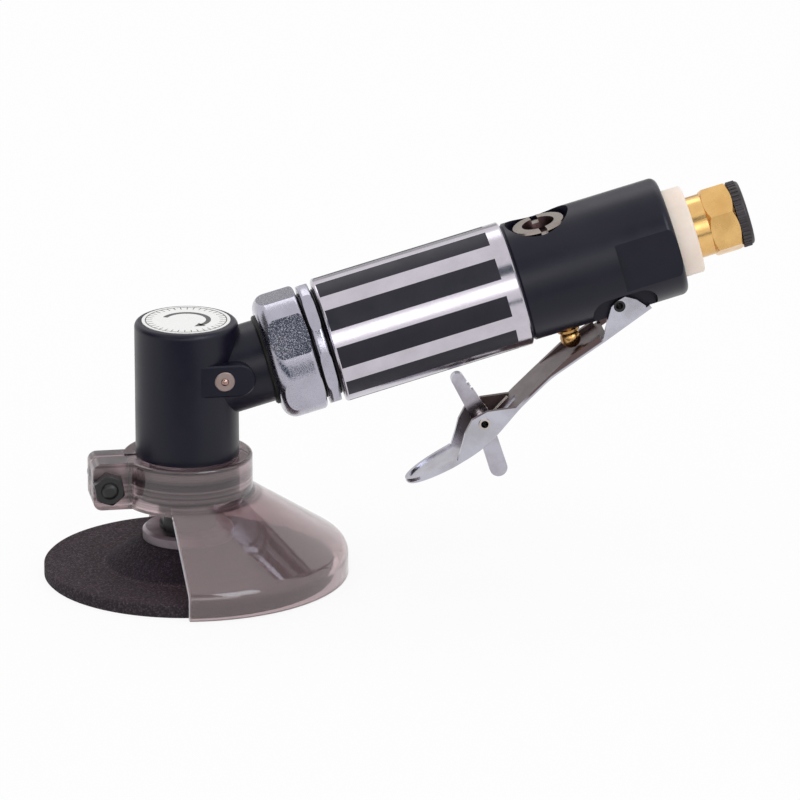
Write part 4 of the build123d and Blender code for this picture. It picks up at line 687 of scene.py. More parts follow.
@dataclass(frozen=True)
class SmokedClear(Finish):
    """Smoked clear plastic with a slight haze.

    Attributes:
        name: The material's name.
        colour: The tint of light that goes through.
        edge: The paler tint of its sawn edges, their frost and a painted highlight of the light along
            the cut.
        flow_and_shade_tint: The darker tint of the flow lines in its collar, which also paint its
            shade, and of the painted shade on its skirt.
        clearness: The share of light that goes through and isn't scattered.
        gloss: How strongly it mirrors, 0.5 being plain.
        index: Its refractive index.
        rim: Height of its lower rim.
        skirt: Height of its upright skirt.
        skirt_shade: How far its skirt goes to the darker tint, as painted shade.
        lug: Where its clamp lugs start, along X.
        edge_width: How wide the paler edge is.
        haze: How much rougher the paler edge is.
        flow: Flow lines a metre in its collar.
        flow_depth: How far the flow lines, with the collar's painted shade, go to the darker tint.
        flow_limits: Heights of the flow's waves where a line starts and is full.
        fade: Width of the soft edges between its zones.
        lug_haze: How far the clamp lugs are paler.
        patches: Handled patches a metre.
        clean: Roughness where untouched.
        dull: Roughness where handled.
        ripple: Waves a metre of its moulding ripple.
        ripple_depth: Depth of the ripple.
    """

    name: str
    colour: Colour
    edge: Colour
    flow_and_shade_tint: Colour
    clearness: float
    gloss: float = 0.9
    index: float = 1.56
    rim: float = 0.6 * MM
    skirt: float = 6.5 * MM
    skirt_shade: float = 0.3
    lug: float = -21.0 * MM
    edge_width: float = 0.9 * MM
    haze: float = 0.35
    flow: float = 330.0
    flow_depth: float = 0.85
    flow_limits: Limits = (0.44, 0.56)
    fade: float = MM
    lug_haze: float = 0.75
    patches: float = 70.0
    clean: float = 0.03
    dull: float = 0.09
    ripple: float = 120.0
    ripple_depth: float = 60e-6

    def shade(self, coat: Coat) -> None:
        """Fills in the tint with painted shade on collar and skirt, the clearness and moulding
        ripple.

        Args:
            coat: The material's nodes.
        """
        edges = self._hazy(coat)
        height = coat.along(coat.place(), UP)
        level = coat.add("ShaderNodeCombineXYZ", {"Z": height}).outputs["Vector"]
        # Darker bands on the collar are flow lines and painted shade; the darker skirt is painted
        # shade
        bands = coat.ramp(coat.rings(level, self.flow), *self.flow_limits)
        foot = GUARD_COLLAR + self.fade
        collar = coat.ramp(height, foot, foot + self.fade, 0.0, self.flow_depth)
        skirt = coat.ramp(height, self.skirt, self.skirt + 2 * self.fade, self.skirt_shade, 0.0)
        dark = coat.math("MAXIMUM", coat.math("MULTIPLY", bands, collar), skirt)
        colour = coat.tint(dark, coat.tint(edges, self.colour, self.edge), self.flow_and_shade_tint)
        _, polish = coat.handled(self.patches, self.clean, self.dull)
        others = {
            "Transmission Weight": self.clearness,
            "IOR": self.index,
            "Specular IOR Level": self.gloss,
        }
        coat.paint(colour, coat.math("MULTIPLY_ADD", edges, self.haze, polish), others)
        coat.relief(coat.grain(self.ripple), self.ripple_depth)

    def _hazy(self, coat: Coat) -> Socket:
        """A mask of its sawn edges, rim and clamp lugs, which are paler and hazier; the sawn edge's
        paleness is partly a painted highlight.

        Args:
            coat: The material's nodes.

        Returns:
            The mask.
        """
        parts = coat.add("ShaderNodeSeparateXYZ", {"Vector": coat.place()}).outputs
        aside = coat.math("ABSOLUTE", parts["Y"])
        depth = coat.math("MULTIPLY_ADD", aside, -GUARD_FLARE, parts["X"])
        sawn = coat.ramp(depth, GUARD_CUT, GUARD_CUT + self.edge_width, 1.0, 0.0)
        below = coat.ramp(parts["Z"], GUARD_COLLAR - self.fade, GUARD_COLLAR, 1.0, 0.0)
        rim = coat.ramp(parts["Z"], self.rim, self.rim + self.edge_width, 1.0, 0.0)
        lug = coat.ramp(parts["X"], self.lug - self.fade, self.lug, self.lug_haze, 0.0)
        lower = coat.math("MAXIMUM", coat.math("MULTIPLY", sawn, below), rim)
        return coat.math("MAXIMUM", lower, lug)


@dataclass(frozen=True)
class Abrasive(Finish):
    """Resin-bonded abrasive grain.

    Attributes:
        name: The material's name.
        resin: The colour between the grains.
        grit: The colour of the grains.
        spark: The colour of the few bright grains.
        grains: Grains a metre.
        face: Tone of its level faces, lighter as painted light.
        side: Tone of its upright rim, darker as painted shade.
        hub: Tone of its raised hub.
        foot_ring_tone: Tone of the lighter ring round the hub's foot.
        foot: Radius of the hub's foot.
        foot_ring_width: Half the width of the lighter ring.
        specular: How strongly it mirrors, 0.5 being plain.
        grain_depth: How far the grains stand out.
        pits: Pits a metre between the grains.
        pit_depth: Depth of the pits.
        pit_roughness: How strong the finer layers of the pits are.
        near: Distances from a grain's middle where it starts to fade and ends.
        bright: Chances where a grain starts to be a bright one and wholly is.
        gloss: Roughness of the resin and of the grains.
        flat: How level a surface is where the face's tone starts and is full.
        foot_ring_share: How far the lighter ring goes to its own tone.
    """

    name: str
    resin: Colour
    grit: Colour
    spark: Colour
    grains: float
    face: Colour = (1.28, 1.03, 1.18)
    side: Colour = (1.0, 0.94, 1.06)
    hub: Colour = (0.70, 0.56, 0.78)
    foot_ring_tone: Colour = (1.95, 1.65, 1.85)
    foot: float = 29.2 * MM
    foot_ring_width: float = 0.9 * MM
    specular: float = 0.35
    grain_depth: float = 220e-6
    pits: float = 700.0
    pit_depth: float = 250e-6
    pit_roughness: float = 0.7
    near: Limits = (0.1, 0.75)
    bright: Limits = (0.93, 0.97)
    gloss: Limits = (0.95, 0.62)
    flat: Limits = (0.4, 0.8)
    foot_ring_share: float = 0.9

    def shade(self, coat: Coat) -> None:
        """Fills in grains, their relief and broad shading.

        Args:
            coat: The material's nodes.
        """
        values = {"Vector": coat.place(), "Scale": self.grains}
        cells = coat.add("ShaderNodeTexVoronoi", values).outputs
        near = coat.ramp(cells["Distance"], *self.near, 1.0, 0.0)
        chance = coat.add("ShaderNodeSeparateColor", {"Color": cells["Color"]}).outputs
        grains = coat.math("MULTIPLY", near, chance["Red"])
        bright = coat.math("MULTIPLY", coat.ramp(chance["Green"], *self.bright), near)
        mixed = coat.tint(bright, coat.tint(grains, self.resin, self.grit), self.spark)
        toned = coat.vector_math("MULTIPLY", mixed, self._tone(coat)).outputs["Vector"]
        roughness = coat.ramp(grains, 0.0, 1.0, *self.gloss)
        coat.paint(toned, roughness, {"Specular IOR Level": self.specular})
        coat.relief(near, self.grain_depth)
        coat.relief(coat.grain(self.pits, self.pit_roughness), self.pit_depth)

    def _tone(self, coat: Coat) -> Socket:
        """The tone of rim, face, hub and the lighter ring round the hub's foot, with painted light
        and shade on face and rim.

        Args:
            coat: The material's nodes.

        Returns:
            The tone, to multiply a colour with.
        """
        radius = coat.radius(coat.place())
        level = coat.along(coat.facing(), UP)
        # Level faces get a lighter tone and the upright rim a darker one: painted light and shade
        flat = coat.ramp(coat.math("ABSOLUTE", level), *self.flat)
        tone = coat.tint(flat, self.side, self.face)
        hub = coat.ramp(radius, self.foot - self.foot_ring_width, self.foot, 1.0, 0.0)
        off = coat.math("ABSOLUTE", coat.math("SUBTRACT", radius, self.foot))
        # A lighter ring round the hub's foot
        worn = coat.ramp(off, 0.0, self.foot_ring_width, self.foot_ring_share, 0.0)
        return coat.tint(worn, coat.tint(hub, tone, self.hub), self.foot_ring_tone)


NICKEL_TONES = ((0.58, 0.53, 0.49), (0.46, 0.41, 0.38), 0.16, 0.3)
STEEL_TONES = ((0.48, 0.44, 0.45), (0.36, 0.32, 0.33), 0.24, 0.4)
BLACK_ENAMEL = Opaque(
    "black enamel", (0.0052, 0.0048, 0.0148), (0.0074, 0.0066, 0.0172), 0.31, 0.4,
    grain=900.0, grain_depth=12e-6, specular=0.28, patches=55.0,
)
BLACK_STEEL = Opaque(
    "black oxide steel", (0.008, 0.008, 0.009), (0.015, 0.014, 0.015), 0.3, 0.42,
    grain=1600.0, grain_depth=8e-6, specular=0.45, patches=55.0,
)
# The dark colour inside the 19.2 mm radius is painted shade in the gaps by the coupling nut and lock
# ring
TUBE_CHROME = BoredMetal(
    "tube chrome", (0.57, 0.535, 0.60), (0.51, 0.475, 0.53), 0.15, 0.24, turning=Turning.HANDLE,
    ring_depth=3e-6, shade_and_dip_colour=(0.02, 0.018, 0.02), axis=Turning.HANDLE, bore=19.2 * MM,
)
NUT_CHROME = Metal(
    "nut chrome", (0.44, 0.43, 0.50), (0.38, 0.37, 0.43), 0.1, 0.18,
    grain=1900.0, grain_depth=40e-6, speck=0.2,
)
# The dark brown inside colour is painted shade and reflection in the fold and on the arm's sides
LEVER_CHROME = PressedMetal(
    "lever chrome", (0.50, 0.50, 0.57), (0.42, 0.41, 0.45), 0.1, 0.2, grain=700.0,
    shade_and_dip_colour=(0.105, 0.066, 0.066), inside_dull=0.2, painted_inside_matte=0.55,
)
CATCH_CHROME = Metal(
    "catch chrome", (0.46, 0.45, 0.51), (0.36, 0.33, 0.37), 0.12, 0.26, grain=700.0
)
NICKEL = Metal("nickel", *NICKEL_TONES)
OILER_NICKEL = Metal("oiler nickel", (0.47, 0.375, 0.35), (0.34, 0.26, 0.24), 0.34, 0.5)
BALL_BRONZE = Metal("ball bronze", (0.48, 0.33, 0.29), (0.32, 0.20, 0.17), 0.08, 0.15)
# The dark colour inside the rivet's bore is painted shade
RIVET_NICKEL = BoredMetal(
    "rivet nickel", *NICKEL_TONES,
    shade_and_dip_colour=(0.012, 0.010, 0.010), axis=Turning.CATCH, bore=1.3 * MM,
)
# The dark colour inside the knob's well is painted shade and reflection
KNOB_NICKEL = BoredMetal(
    "knob nickel", (0.40, 0.345, 0.31), (0.29, 0.235, 0.21), 0.14, 0.26, turning=Turning.VALVE,
    shade_and_dip_colour=(0.05, 0.028, 0.028), axis=Turning.VALVE, bore=5.66 * MM,
)
INLET_BRASS = Metal(
    "inlet brass", (0.80, 0.50, 0.195), (0.66, 0.39, 0.14), 0.2, 0.34,
    turning=Turning.HANDLE, ring_density=1800.0,
)
VALVE_BRASS = Metal(
    "valve brass", (0.52, 0.30, 0.115), (0.34, 0.18, 0.07), 0.22, 0.38, turning=Turning.VALVE
)
SPINDLE_STEEL = Metal(
    "spindle steel", *STEEL_TONES, turning=Turning.SPINDLE, ring_density=1500.0, ring_depth=10e-6
)
FLANGE_STEEL = Metal("flange steel", (0.33, 0.28, 0.31), (0.25, 0.20, 0.225), 0.36, 0.5)
NOSE_STEEL = DippedMetal(
    "nose steel", *STEEL_TONES, turning=Turning.SPINDLE,
    shade_and_dip_colour=(0.02, 0.016, 0.018), level=28.5 * MM,
)
HANDLE_STEEL = Metal(
    "motor steel", (0.55, 0.54, 0.54), (0.42, 0.41, 0.41), 0.22, 0.36, turning=Turning.HANDLE
)
STRIP_INLAY = Opaque(
    "strip inlay", (0.013, 0.012, 0.021), (0.019, 0.016, 0.025), 0.42, 0.55, specular=0.26
)
MUFFLER_CREAM = Opaque(
    "muffler cream", (0.97, 0.84, 0.74), (0.91, 0.77, 0.67), 0.42, 0.55, 900.0, 25e-6, scatter=0.25
)
PLUG_BLACK = Opaque("plug black", (0.020, 0.014, 0.018), (0.034, 0.025, 0.03), 0.4, 0.55)
RUBBER = Opaque("ring rubber", grey(0.006), grey(0.01), 0.4, 0.55, specular=0.25)
VANE_RESIN = Opaque("vane resin", (0.20, 0.09, 0.035), (0.14, 0.06, 0.022), 0.45, 0.6, 600.0)
LABEL_WHITE = Opaque(
    "label white", (0.96, 0.96, 0.95), (0.91, 0.91, 0.90), 0.22, 0.32, 500.0, 6e-6
)
LABEL_INK = Opaque("label ink", grey(0.05), grey(0.08), 0.3, 0.4, 800.0, 5e-6)
GUARD_CLEAR = SmokedClear(
    "smoked guard", (0.60, 0.46, 0.475), (0.87, 0.70, 0.72), (0.11, 0.075, 0.09), 0.83
)
# Pale frosted plastic whose paleness is partly a painted highlight of the light along the cut
SAWN_EDGE = Opaque(
    "sawn edge", (0.82, 0.70, 0.71), (0.70, 0.58, 0.60), 0.45, 0.6, 2500.0, 30e-6, scatter=0.3
)
WHEEL_GRIT = Abrasive(
    "abrasive grit", (0.019, 0.0145, 0.017), (0.072, 0.055, 0.062), (0.085, 0.069, 0.074), 1500.0
)

FINISH_NODES: tuple[tuple[Finish, str], ...] = (
    (BLACK_ENAMEL, "angle_head_housing valve_housing"),
    (BLACK_STEEL, "spindle clamp_nut guard_screw guard_nut lever_pin"),
    (TUBE_CHROME, "motor_housing"),
    (NUT_CHROME, "coupling_nut lock_ring"),
    (LEVER_CHROME, "throttle_lever"),
    (CATCH_CHROME, "safety_catch"),
    (NICKEL, "valve_spring catch_spring"),
    (OILER_NICKEL, "oiler_ring"),
    (BALL_BRONZE, "oiler_ball"),
    (RIVET_NICKEL, "catch_pin"),
    (KNOB_NICKEL, "regulator"),
    (INLET_BRASS, "inlet_bushing inlet_screen"),
    (VALVE_BRASS, "upper_spindle_bush valve_seat stem_guide throttle_valve"),
    (SPINDLE_STEEL, "nose_circlip gear_key gear_nut bevel_gear"),
    (SPINDLE_STEEL, "spindle_bearing_outer spindle_bearing_inner"),
    (FLANGE_STEEL, "inner_flange"),
    (NOSE_STEEL, "head_nose"),
    (HANDLE_STEEL, "neck_circlip front_end_plate rear_end_plate cylinder_liner rotor bevel_pinion"),
    (HANDLE_STEEL, "pinion_bearing_outer pinion_bearing_inner front_rotor_bearing_outer"),
    (HANDLE_STEEL, "front_rotor_bearing_inner rear_rotor_bearing_outer rear_rotor_bearing_inner"),
    (STRIP_INLAY, "grip_strips"),
    (MUFFLER_CREAM, "muffler_ring"),
    (PLUG_BLACK, "dust_plug"),
    (RUBBER, "nose_oring neck_seal regulator_oring"),
    (VANE_RESIN, "rotor_vanes"),
    (LABEL_WHITE, "head_label"),
    (GUARD_CLEAR, "wheel_guard"),
    (WHEEL_GRIT, "grinding_wheel"),
)
NODE_FINISHES = {node: finish for finish, nodes in FINISH_NODES for node in nodes.split()}


class Wardrobe:
    """Makes each finish's material once and dresses pieces with it."""

    def __init__(self) -> None:
        """Builds the shared effects."""
        self.effects = SurfaceEffects()
        self.made: dict[str, bpy.types.Material] = {}

    def dress(self, piece: Piece, finish: Finish) -> None:
        """Puts a finish on a piece.

        Args:
            piece: The piece.
            finish: Its finish.
        """
        if finish.name not in self.made:
            self.made[finish.name] = finish.material(self.effects)
        material = self.made[finish.name]
        if not piece.material_slots:
            piece.data.materials.append(material)
        for slot in piece.material_slots:
            slot.material = material

    def dress_nodes(self, nodes: Mapping[str, Piece]) -> None:
        """Puts its finish on every carried-over piece.

        Args:
            nodes: The pieces by node name.
        """
        for name, piece in nodes.items():
            self.dress(piece, NODE_FINISHES[name])
        LOG.info("dressed %d carried-over pieces", len(nodes))


class Bench:
    """Makes new meshes with Blender's own modelling operators."""

    @staticmethod
    def mode(name: str) -> None:
        """Goes to object or edit mode."""
        bpy.ops.object.mode_set(mode=name)

    @staticmethod
    def clear_selection() -> None:
        """Leaves edit mode and deselects everything."""
        if bpy.context.object is not None and bpy.context.object.mode != "OBJECT":
            Bench.mode("OBJECT")
        bpy.ops.object.select_all(action="DESELECT")

    @staticmethod
    def take(name: str) -> Piece:
        """Names the object that was just added.

        Args:
            name: The piece's name.

        Returns:
            The object.
        """
        piece = bpy.context.active_object
        piece.name = name
        piece.data.name = name
        return piece

    @staticmethod
    def select_faces(piece: Piece, test: Callable[[bpy.types.MeshPolygon], bool]) -> None:
        """Selects the faces that pass a test, and leaves the piece in edit mode.

        Args:
            piece: The piece.
            test: Whether a face is wanted.
        """
        Bench.mode("EDIT")
        bpy.ops.mesh.select_mode(type="FACE")
        bpy.ops.mesh.select_all(action="DESELECT")
        Bench.mode("OBJECT")
        for face in piece.data.polygons:
            face.select = test(face)
        Bench.mode("EDIT")

    @staticmethod
    def apply(piece: Piece, kind: str, **settings: object) -> None:
        """Adds a modifier to a piece and applies it.

        Args:
            piece: The piece.
            kind: The modifier's type.
            settings: Its settings.
        """
        modifier = piece.modifiers.new(kind.lower(), kind)
        for name, value in settings.items():
            setattr(modifier, name, value)
        bpy.context.view_layer.objects.active = piece
        bpy.ops.object.modifier_apply(modifier=modifier.name)

    @staticmethod
    def settle(piece: Piece, placement: Matrix) -> None:
        """Puts a piece's place into its mesh, so that its object sits at the origin.

        Args:
            piece: The piece.
            placement: Where its local frame goes.
        """
        piece.data.transform(placement @ piece.matrix_world)
        piece.matrix_world = Matrix.Identity(4)
        piece.data.update()


@dataclass
class HelixSweep:
    """A section carried up a helix, as a thread's tooth or a spring's wire is.

    Attributes:
        name: The piece's name.
        section: The section's corners in order, as radius and height.
        pitch: Rise of one turn.
        turns: How many turns it makes.
        steps: Faces in one turn.
    """

    name: str
    section: Sequence[tuple[float, float]]
    pitch: float
    turns: float
    steps: int = 48

    def build(self, placement: Matrix) -> Piece:
        """Models the sweep.

        Args:
            placement: Where the helix's axis and start go.

        Returns:
            The new piece.
        """
        Bench.clear_selection()
        corners = len(self.section)
        bpy.ops.mesh.primitive_circle_add(vertices=corners, radius=self.pitch, fill_type="NGON")
        sweep = Bench.take(self.name)
        for vertex, (across, along) in zip(sweep.data.vertices, self.section):
            vertex.co = (across, 0.0, along)
        steps = round(self.steps * self.turns)
        Bench.apply(
            sweep, "SCREW", axis="Z", angle=self.turns * 2 * math.pi,
            screw_offset=self.turns * self.pitch, steps=steps, render_steps=steps,
            use_merge_vertices=True, use_smooth_shade=True,
        )
        Bench.mode("EDIT")
        bpy.ops.mesh.select_all(action="SELECT")
        bpy.ops.mesh.remove_doubles(threshold=MERGE_DISTANCE)
        bpy.ops.mesh.fill_holes(sides=corners)
        bpy.ops.mesh.select_all(action="SELECT")
        bpy.ops.mesh.normals_make_consistent(inside=False)
        Bench.mode("OBJECT")
        bpy.ops.object.shade_smooth_by_angle(angle=SMOOTH_ANGLE)
        Bench.settle(sweep, placement)
        return sweep


def thread_ridge(
    name: str, radius: float, height: float, pitch: float, length: float
) -> HelixSweep:
    """A screw thread's ridge, as one helical tooth.

    Args:
        name: The piece's name.
        radius: Radius of the cylinder that carries it.
        height: How far the tooth stands off, negative for an inside thread.
        pitch: Rise of one turn.
        length: Length along the axis.

    Returns:
        The sweep of its tooth.
    """
    half = pitch * TOOTH_SHARE
    root = radius - math.copysign(TOOTH_SINK, height)
    tooth = ((root, -half), (root, half), (radius + height, 0.0))
    return HelixSweep(name, tooth, pitch, max(length / pitch, 1.0))


@dataclass
class DialPrint:
    """The plain print on the head's disc: a ring with ticks and an arrow for the turning direction.

    Attributes:
        top: Height of the disc's face.
        ring_radius: Outer radius of the ring.
        ring_width: Width of the ring's line.
        tick_count: Number of short ticks round the disc.
        tick_length: How far in the ticks reach from the ring's outside.
        tick_share: How many times a tick's width goes into its spacing.
        arrow_radius: Outer radius of the arrow's curved bar.
        arrow_width: Width of the bar.
        arrow_start: Angle where the bar starts, in degrees.
        arrow_end: Angle where its head is, in degrees.
        arrow_head: Radius of its head, as a share of the bar's width.
        arrow_parts: Faces in the whole ring that the bar is cut from.
        ink: Thickness of the print.
    """

    top: float = 91.75 * MM
    ring_radius: float = 14.2 * MM
    ring_width: float = 0.35 * MM
    tick_count: int = 36
    tick_length: float = 2.2 * MM
    tick_share: int = 8
    arrow_radius: float = 8.6 * MM
    arrow_width: float = 1.7 * MM
    arrow_start: float = 150.0
    arrow_end: float = -60.0
    arrow_head: float = 1.35
    arrow_parts: int = 120
    ink: float = 0.03 * MM

    def build(self, wardrobe: Wardrobe) -> list[Piece]:
        """Models and dresses the print.

        Args:
            wardrobe: Where its ink comes from.

        Returns:
            The new pieces.
        """
        made = [self._ring(), self._arrow()]
        for piece in made:
            Bench.apply(piece, "SOLIDIFY", thickness=self.ink, offset=1.0)
            Bench.settle(piece, Matrix.Translation((0.0, 0.0, self.top)))
            wardrobe.dress(piece, LABEL_INK)
            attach(piece, Body.TOOL.value)
        return made

    def _annulus(self, name: str, outer: float, width: float, parts: int) -> Piece:
        """A flat ring of faces.

        Args:
            name: The piece's name.
            outer: Its outer radius.
            width: Its width.
            parts: How many faces it has.

        Returns:
            The ring.
        """
        Bench.clear_selection()
        bpy.ops.mesh.primitive_circle_add(vertices=parts, radius=outer, fill_type="NGON")
        disc = Bench.take(name)
        Bench.mode("EDIT")
        bpy.ops.mesh.select_all(action="SELECT")
        bpy.ops.mesh.inset(thickness=width)
        Bench.mode("OBJECT")
        Bench.select_faces(disc, lambda face: face.center.length < outer / 4)
        bpy.ops.mesh.delete(type="FACE")
        Bench.mode("OBJECT")
        return disc

    def _ring(self) -> Piece:
        """The ring and its ticks.

        Returns:
            The ring.
        """
        parts = self.tick_count * self.tick_share
        ring = self._annulus("dial_ring", self.ring_radius, self.ring_width, parts)
        step = 2 * math.pi / self.tick_count
        tick = step / self.tick_share
        Bench.select_faces(
            ring, lambda face: (math.atan2(face.center.y, face.center.x) % step) < tick
        )
        bpy.ops.mesh.extrude_region_move()
        scale = (self.ring_radius - self.tick_length) / self.ring_radius
        bpy.ops.transform.resize(value=(scale, scale, 1.0), center_override=(0.0, 0.0, 0.0))
        Bench.mode("OBJECT")
        return ring

    def _arrow(self) -> Piece:
        """The curved arrow.

        Returns:
            The arrow.
        """
        arrow = self._annulus("dial_arrow", self.arrow_radius, self.arrow_width, self.arrow_parts)
        start, end = math.radians(self.arrow_end), math.radians(self.arrow_start)

        def outside(face: bpy.types.MeshPolygon) -> bool:
            """Whether a face is beyond the bar's ends."""
            return not start <= math.atan2(face.center.y, face.center.x) <= end

        Bench.select_faces(arrow, outside)
        bpy.ops.mesh.delete(type="FACE")
        middle = self.arrow_radius - self.arrow_width / 2
        bpy.ops.mesh.primitive_circle_add(
            vertices=3,
            radius=self.arrow_width * self.arrow_head,
            fill_type="NGON",
            location=(middle * math.cos(start), middle * math.sin(start), 0.0),
            rotation=(0.0, 0.0, start - math.pi),
        )
        Bench.mode("OBJECT")
        return arrow


@dataclass
class Coupling:
    """The thread that shows beside the coupling nut and the lock ring.

    Attributes:
        radius: Radius of the motor tube's threaded nose.
        pitch: The thread's pitch.
        tooth: Height of its tooth.
        gaps: Start and length of each gap that shows it along the handle.
    """

    radius: float = 18.4 * MM
    pitch: float = 0.75 * MM
    tooth: float = 0.4 * MM
    gaps: tuple[tuple[float, float], ...] = ((44.85 * MM, 0.4 * MM), (49.85 * MM, 0.9 * MM))

    def build(self, wardrobe: Wardrobe) -> list[Piece]:
        """Builds the thread in each gap.

        Args:
            wardrobe: Where the finishes come from.

        Returns:
            The new pieces.
        """
        made = []
        for number, (start, length) in enumerate(self.gaps, 1):
            name = f"nose_thread_{number}"
            ridge = thread_ridge(name, self.radius, self.tooth, self.pitch, length)
            piece = ridge.build(HANDLE.placement(start))
            # The black steel is the thread's oxide and also paints the shade in these narrow gaps
            wardrobe.dress(piece, BLACK_STEEL)
            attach(piece, Body.TOOL.value)
            made.append(piece)
        return made


@dataclass
class InletEnd:
    """The pipe thread in the inlet, which shows when the dust plug is off.

    Attributes:
        radius: Radius of the inlet's threaded hole.
        start: Where the thread starts along the handle.
        length: The thread's length.
        pitch: Its pitch.
        tooth: Height of its tooth.
    """

    radius: float = 5.7 * MM
    start: float = 182.0 * MM
    length: float = 13.4 * MM
    pitch: float = 1.34 * MM
    tooth: float = 0.45 * MM

    def build(self, wardrobe: Wardrobe) -> list[Piece]:
        """Builds the thread.

        Args:
            wardrobe: Where the finishes come from.

        Returns:
            The new pieces.
        """
        ridge = thread_ridge("inlet_thread", self.radius, -self.tooth, self.pitch, self.length)
        piece = ridge.build(HANDLE.placement(self.start))
        wardrobe.dress(piece, INLET_BRASS)
        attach(piece, Body.TOOL.value)
        return [piece]


@dataclass
class ThrottleSpring:
    """The throttle valve's spring, built at rest; the real one shortens as the lever lifts the valve.

    Attributes:
        coil_radius: Radius of the coil's middle line.
        wire_radius: Radius of its wire.
        low: Where its lowest turn starts above the handle's axis.
        high: Where its highest turn ends.
        turns: How many turns it has.
        lift: How far the valve pushes it in; not used.
        corners: Corners of the wire's section.
    """

    coil_radius: float = 3.6 * MM
    wire_radius: float = 0.45 * MM
    low: float = -1.9 * MM
    high: float = 8.5 * MM
    turns: float = 5.0
    lift: float = 3.9 * MM
    corners: int = 12

    def build(self, wardrobe: Wardrobe) -> list[Piece]:
        """Models and dresses the spring.

        Args:
            wardrobe: Where the finishes come from.

        Returns:
            The new pieces.
        """
        pitch = (self.high - self.low) / self.turns
        coil = HelixSweep("valve_return_spring", self._section(), pitch, self.turns)
        spring = coil.build(HANDLE.valve_placement(self.low))
        wardrobe.dress(spring, NICKEL)
        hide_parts("valve_spring")
        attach(spring, Body.TOOL.value)
        seat = HANDLE.point(HANDLE.valve_station, self.high + self.wire_radius)
        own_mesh(spring)
        return [spring]

    def _section(self) -> list[tuple[float, float]]:
        """The wire's round section.

        Returns:
            Its corners, as radius and height.
        """
        step = 2 * math.pi / self.corners
        turns = [number * step for number in range(self.corners)]
        middle, wire = self.coil_radius, self.wire_radius
        return [(middle + wire * math.cos(turn), wire * math.sin(turn)) for turn in turns]


@dataclass
class GuardEdge:
    """The frosted face that the saw left along the guard's open side, pale partly as a painted
    highlight.

    Attributes:
        frost: Thickness of the frosted skin.
        reach: How far from the cut a face may be and still belong to it.
        forward: How squarely a face of the cut looks forward, 1 being wholly.
    """

    frost: float = 0.04 * MM
    reach: float = 0.05 * MM
    forward: float = 0.95

    def build(self, wardrobe: Wardrobe) -> list[Piece]:
        """Models and dresses the frosted face.

        Args:
            wardrobe: Where the finishes come from.

        Returns:
            The new pieces.
        """
        Bench.clear_selection()
        bpy.ops.mesh.primitive_plane_add(size=self.frost)
        edge = Bench.take("guard_sawn_edge")
        edge.data = frame["nodes"]["wheel_guard"].data.copy()
        edge.data.name = edge.name
        Bench.select_faces(edge, lambda face: not self._sawn(face))
        bpy.ops.mesh.delete(type="FACE")
        bpy.ops.mesh.select_all(action="SELECT")
        bpy.ops.mesh.remove_doubles(threshold=MERGE_DISTANCE)
        Bench.mode("OBJECT")
        Bench.apply(edge, "SOLIDIFY", thickness=self.frost, offset=1.0)
        Bench.settle(edge, Matrix.Identity(4))
        wardrobe.dress(edge, SAWN_EDGE)
        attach(edge, Body.GUARD.value)
        return [edge]

    def _sawn(self, face: bpy.types.MeshPolygon) -> bool:
        """Whether a face of the guard lies in the cut, below the collar."""
        near = abs(face.center.x - GUARD_CUT - GUARD_FLARE * abs(face.center.y)) < self.reach
        return face.normal.x < -self.forward and near and face.center.z < GUARD_COLLAR


@dataclass
class Camera:
    """The photograph's far, nearly parallel view.

    Attributes:
        azimuth: Turn from square to the handle.
        elevation: Height above the horizon.
        roll: Lean of the picture.
        scale: Pixels for each metre at the object.
        picture: Width and height of the square picture, in pixels.
        origin: Where the tool's origin falls in the picture, in pixels.
        distance: Distance from the object.
        sensor: Width of the sensor, in millimetres.
        sight: How far it sees.
    """

    azimuth: float = math.radians(-8.0)
    elevation: float = math.radians(18.0)
    roll: float = math.radians(0.4)
    scale: float = 2890.0
    picture: float = 800.0
    origin: tuple[float, float] = (188.8, 572.3)
    distance: float = 6.0
    sensor: float = 36.0
    sight: float = 100.0

    def axes(self) -> tuple[Vector, Vector, Vector]:
        """The picture's own directions.

        Returns:
            Right, up and towards the camera.
        """
        flat, rise = math.cos(self.elevation), math.sin(self.elevation)
        back = Vector((math.sin(self.azimuth) * flat, -math.cos(self.azimuth) * flat, rise))
        level = Vector((math.cos(self.azimuth), math.sin(self.azimuth), 0.0))
        upright = back.cross(level)
        right = level * math.cos(self.roll) - upright * math.sin(self.roll)
        up = level * math.sin(self.roll) + upright * math.cos(self.roll)
        return right, up, back

    def build(self) -> None:
        """Sets up the camera, with the tool's origin at its pixel."""
        data = bpy.data.cameras.new("photo_camera")
        data.sensor_width = self.sensor
        data.lens = self.sensor * self.distance / (self.picture / self.scale)
        data.clip_end = self.sight
        camera = bpy.data.objects.new("photo_camera", data)
        bpy.context.scene.collection.objects.link(camera)
        right, up, back = self.axes()
        across = (self.picture / 2 - self.origin[0]) / self.scale
        rise = (self.origin[1] - self.picture / 2) / self.scale
        camera.matrix_world = stand(right * across + up * rise + back * self.distance, right, back)
        bpy.context.scene.camera = camera


@dataclass(frozen=True)
class Panel:
    """A flat rectangle that stands near the tool.

    Attributes:
        name: Its name.
        place: Where it stands.
        target: What it faces.
        width: Its width.
        height: Its height.
    """

    name: str
    place: Place
    target: Place
    width: float
    height: float

    def stance(self, front: str) -> Matrix:
        """A matrix that stands the panel with its front, a local axis, to its target."""
        look = Vector(self.target) - Vector(self.place)
        return Matrix.Translation(self.place) @ look.to_track_quat(front, "Y").to_matrix().to_4x4()


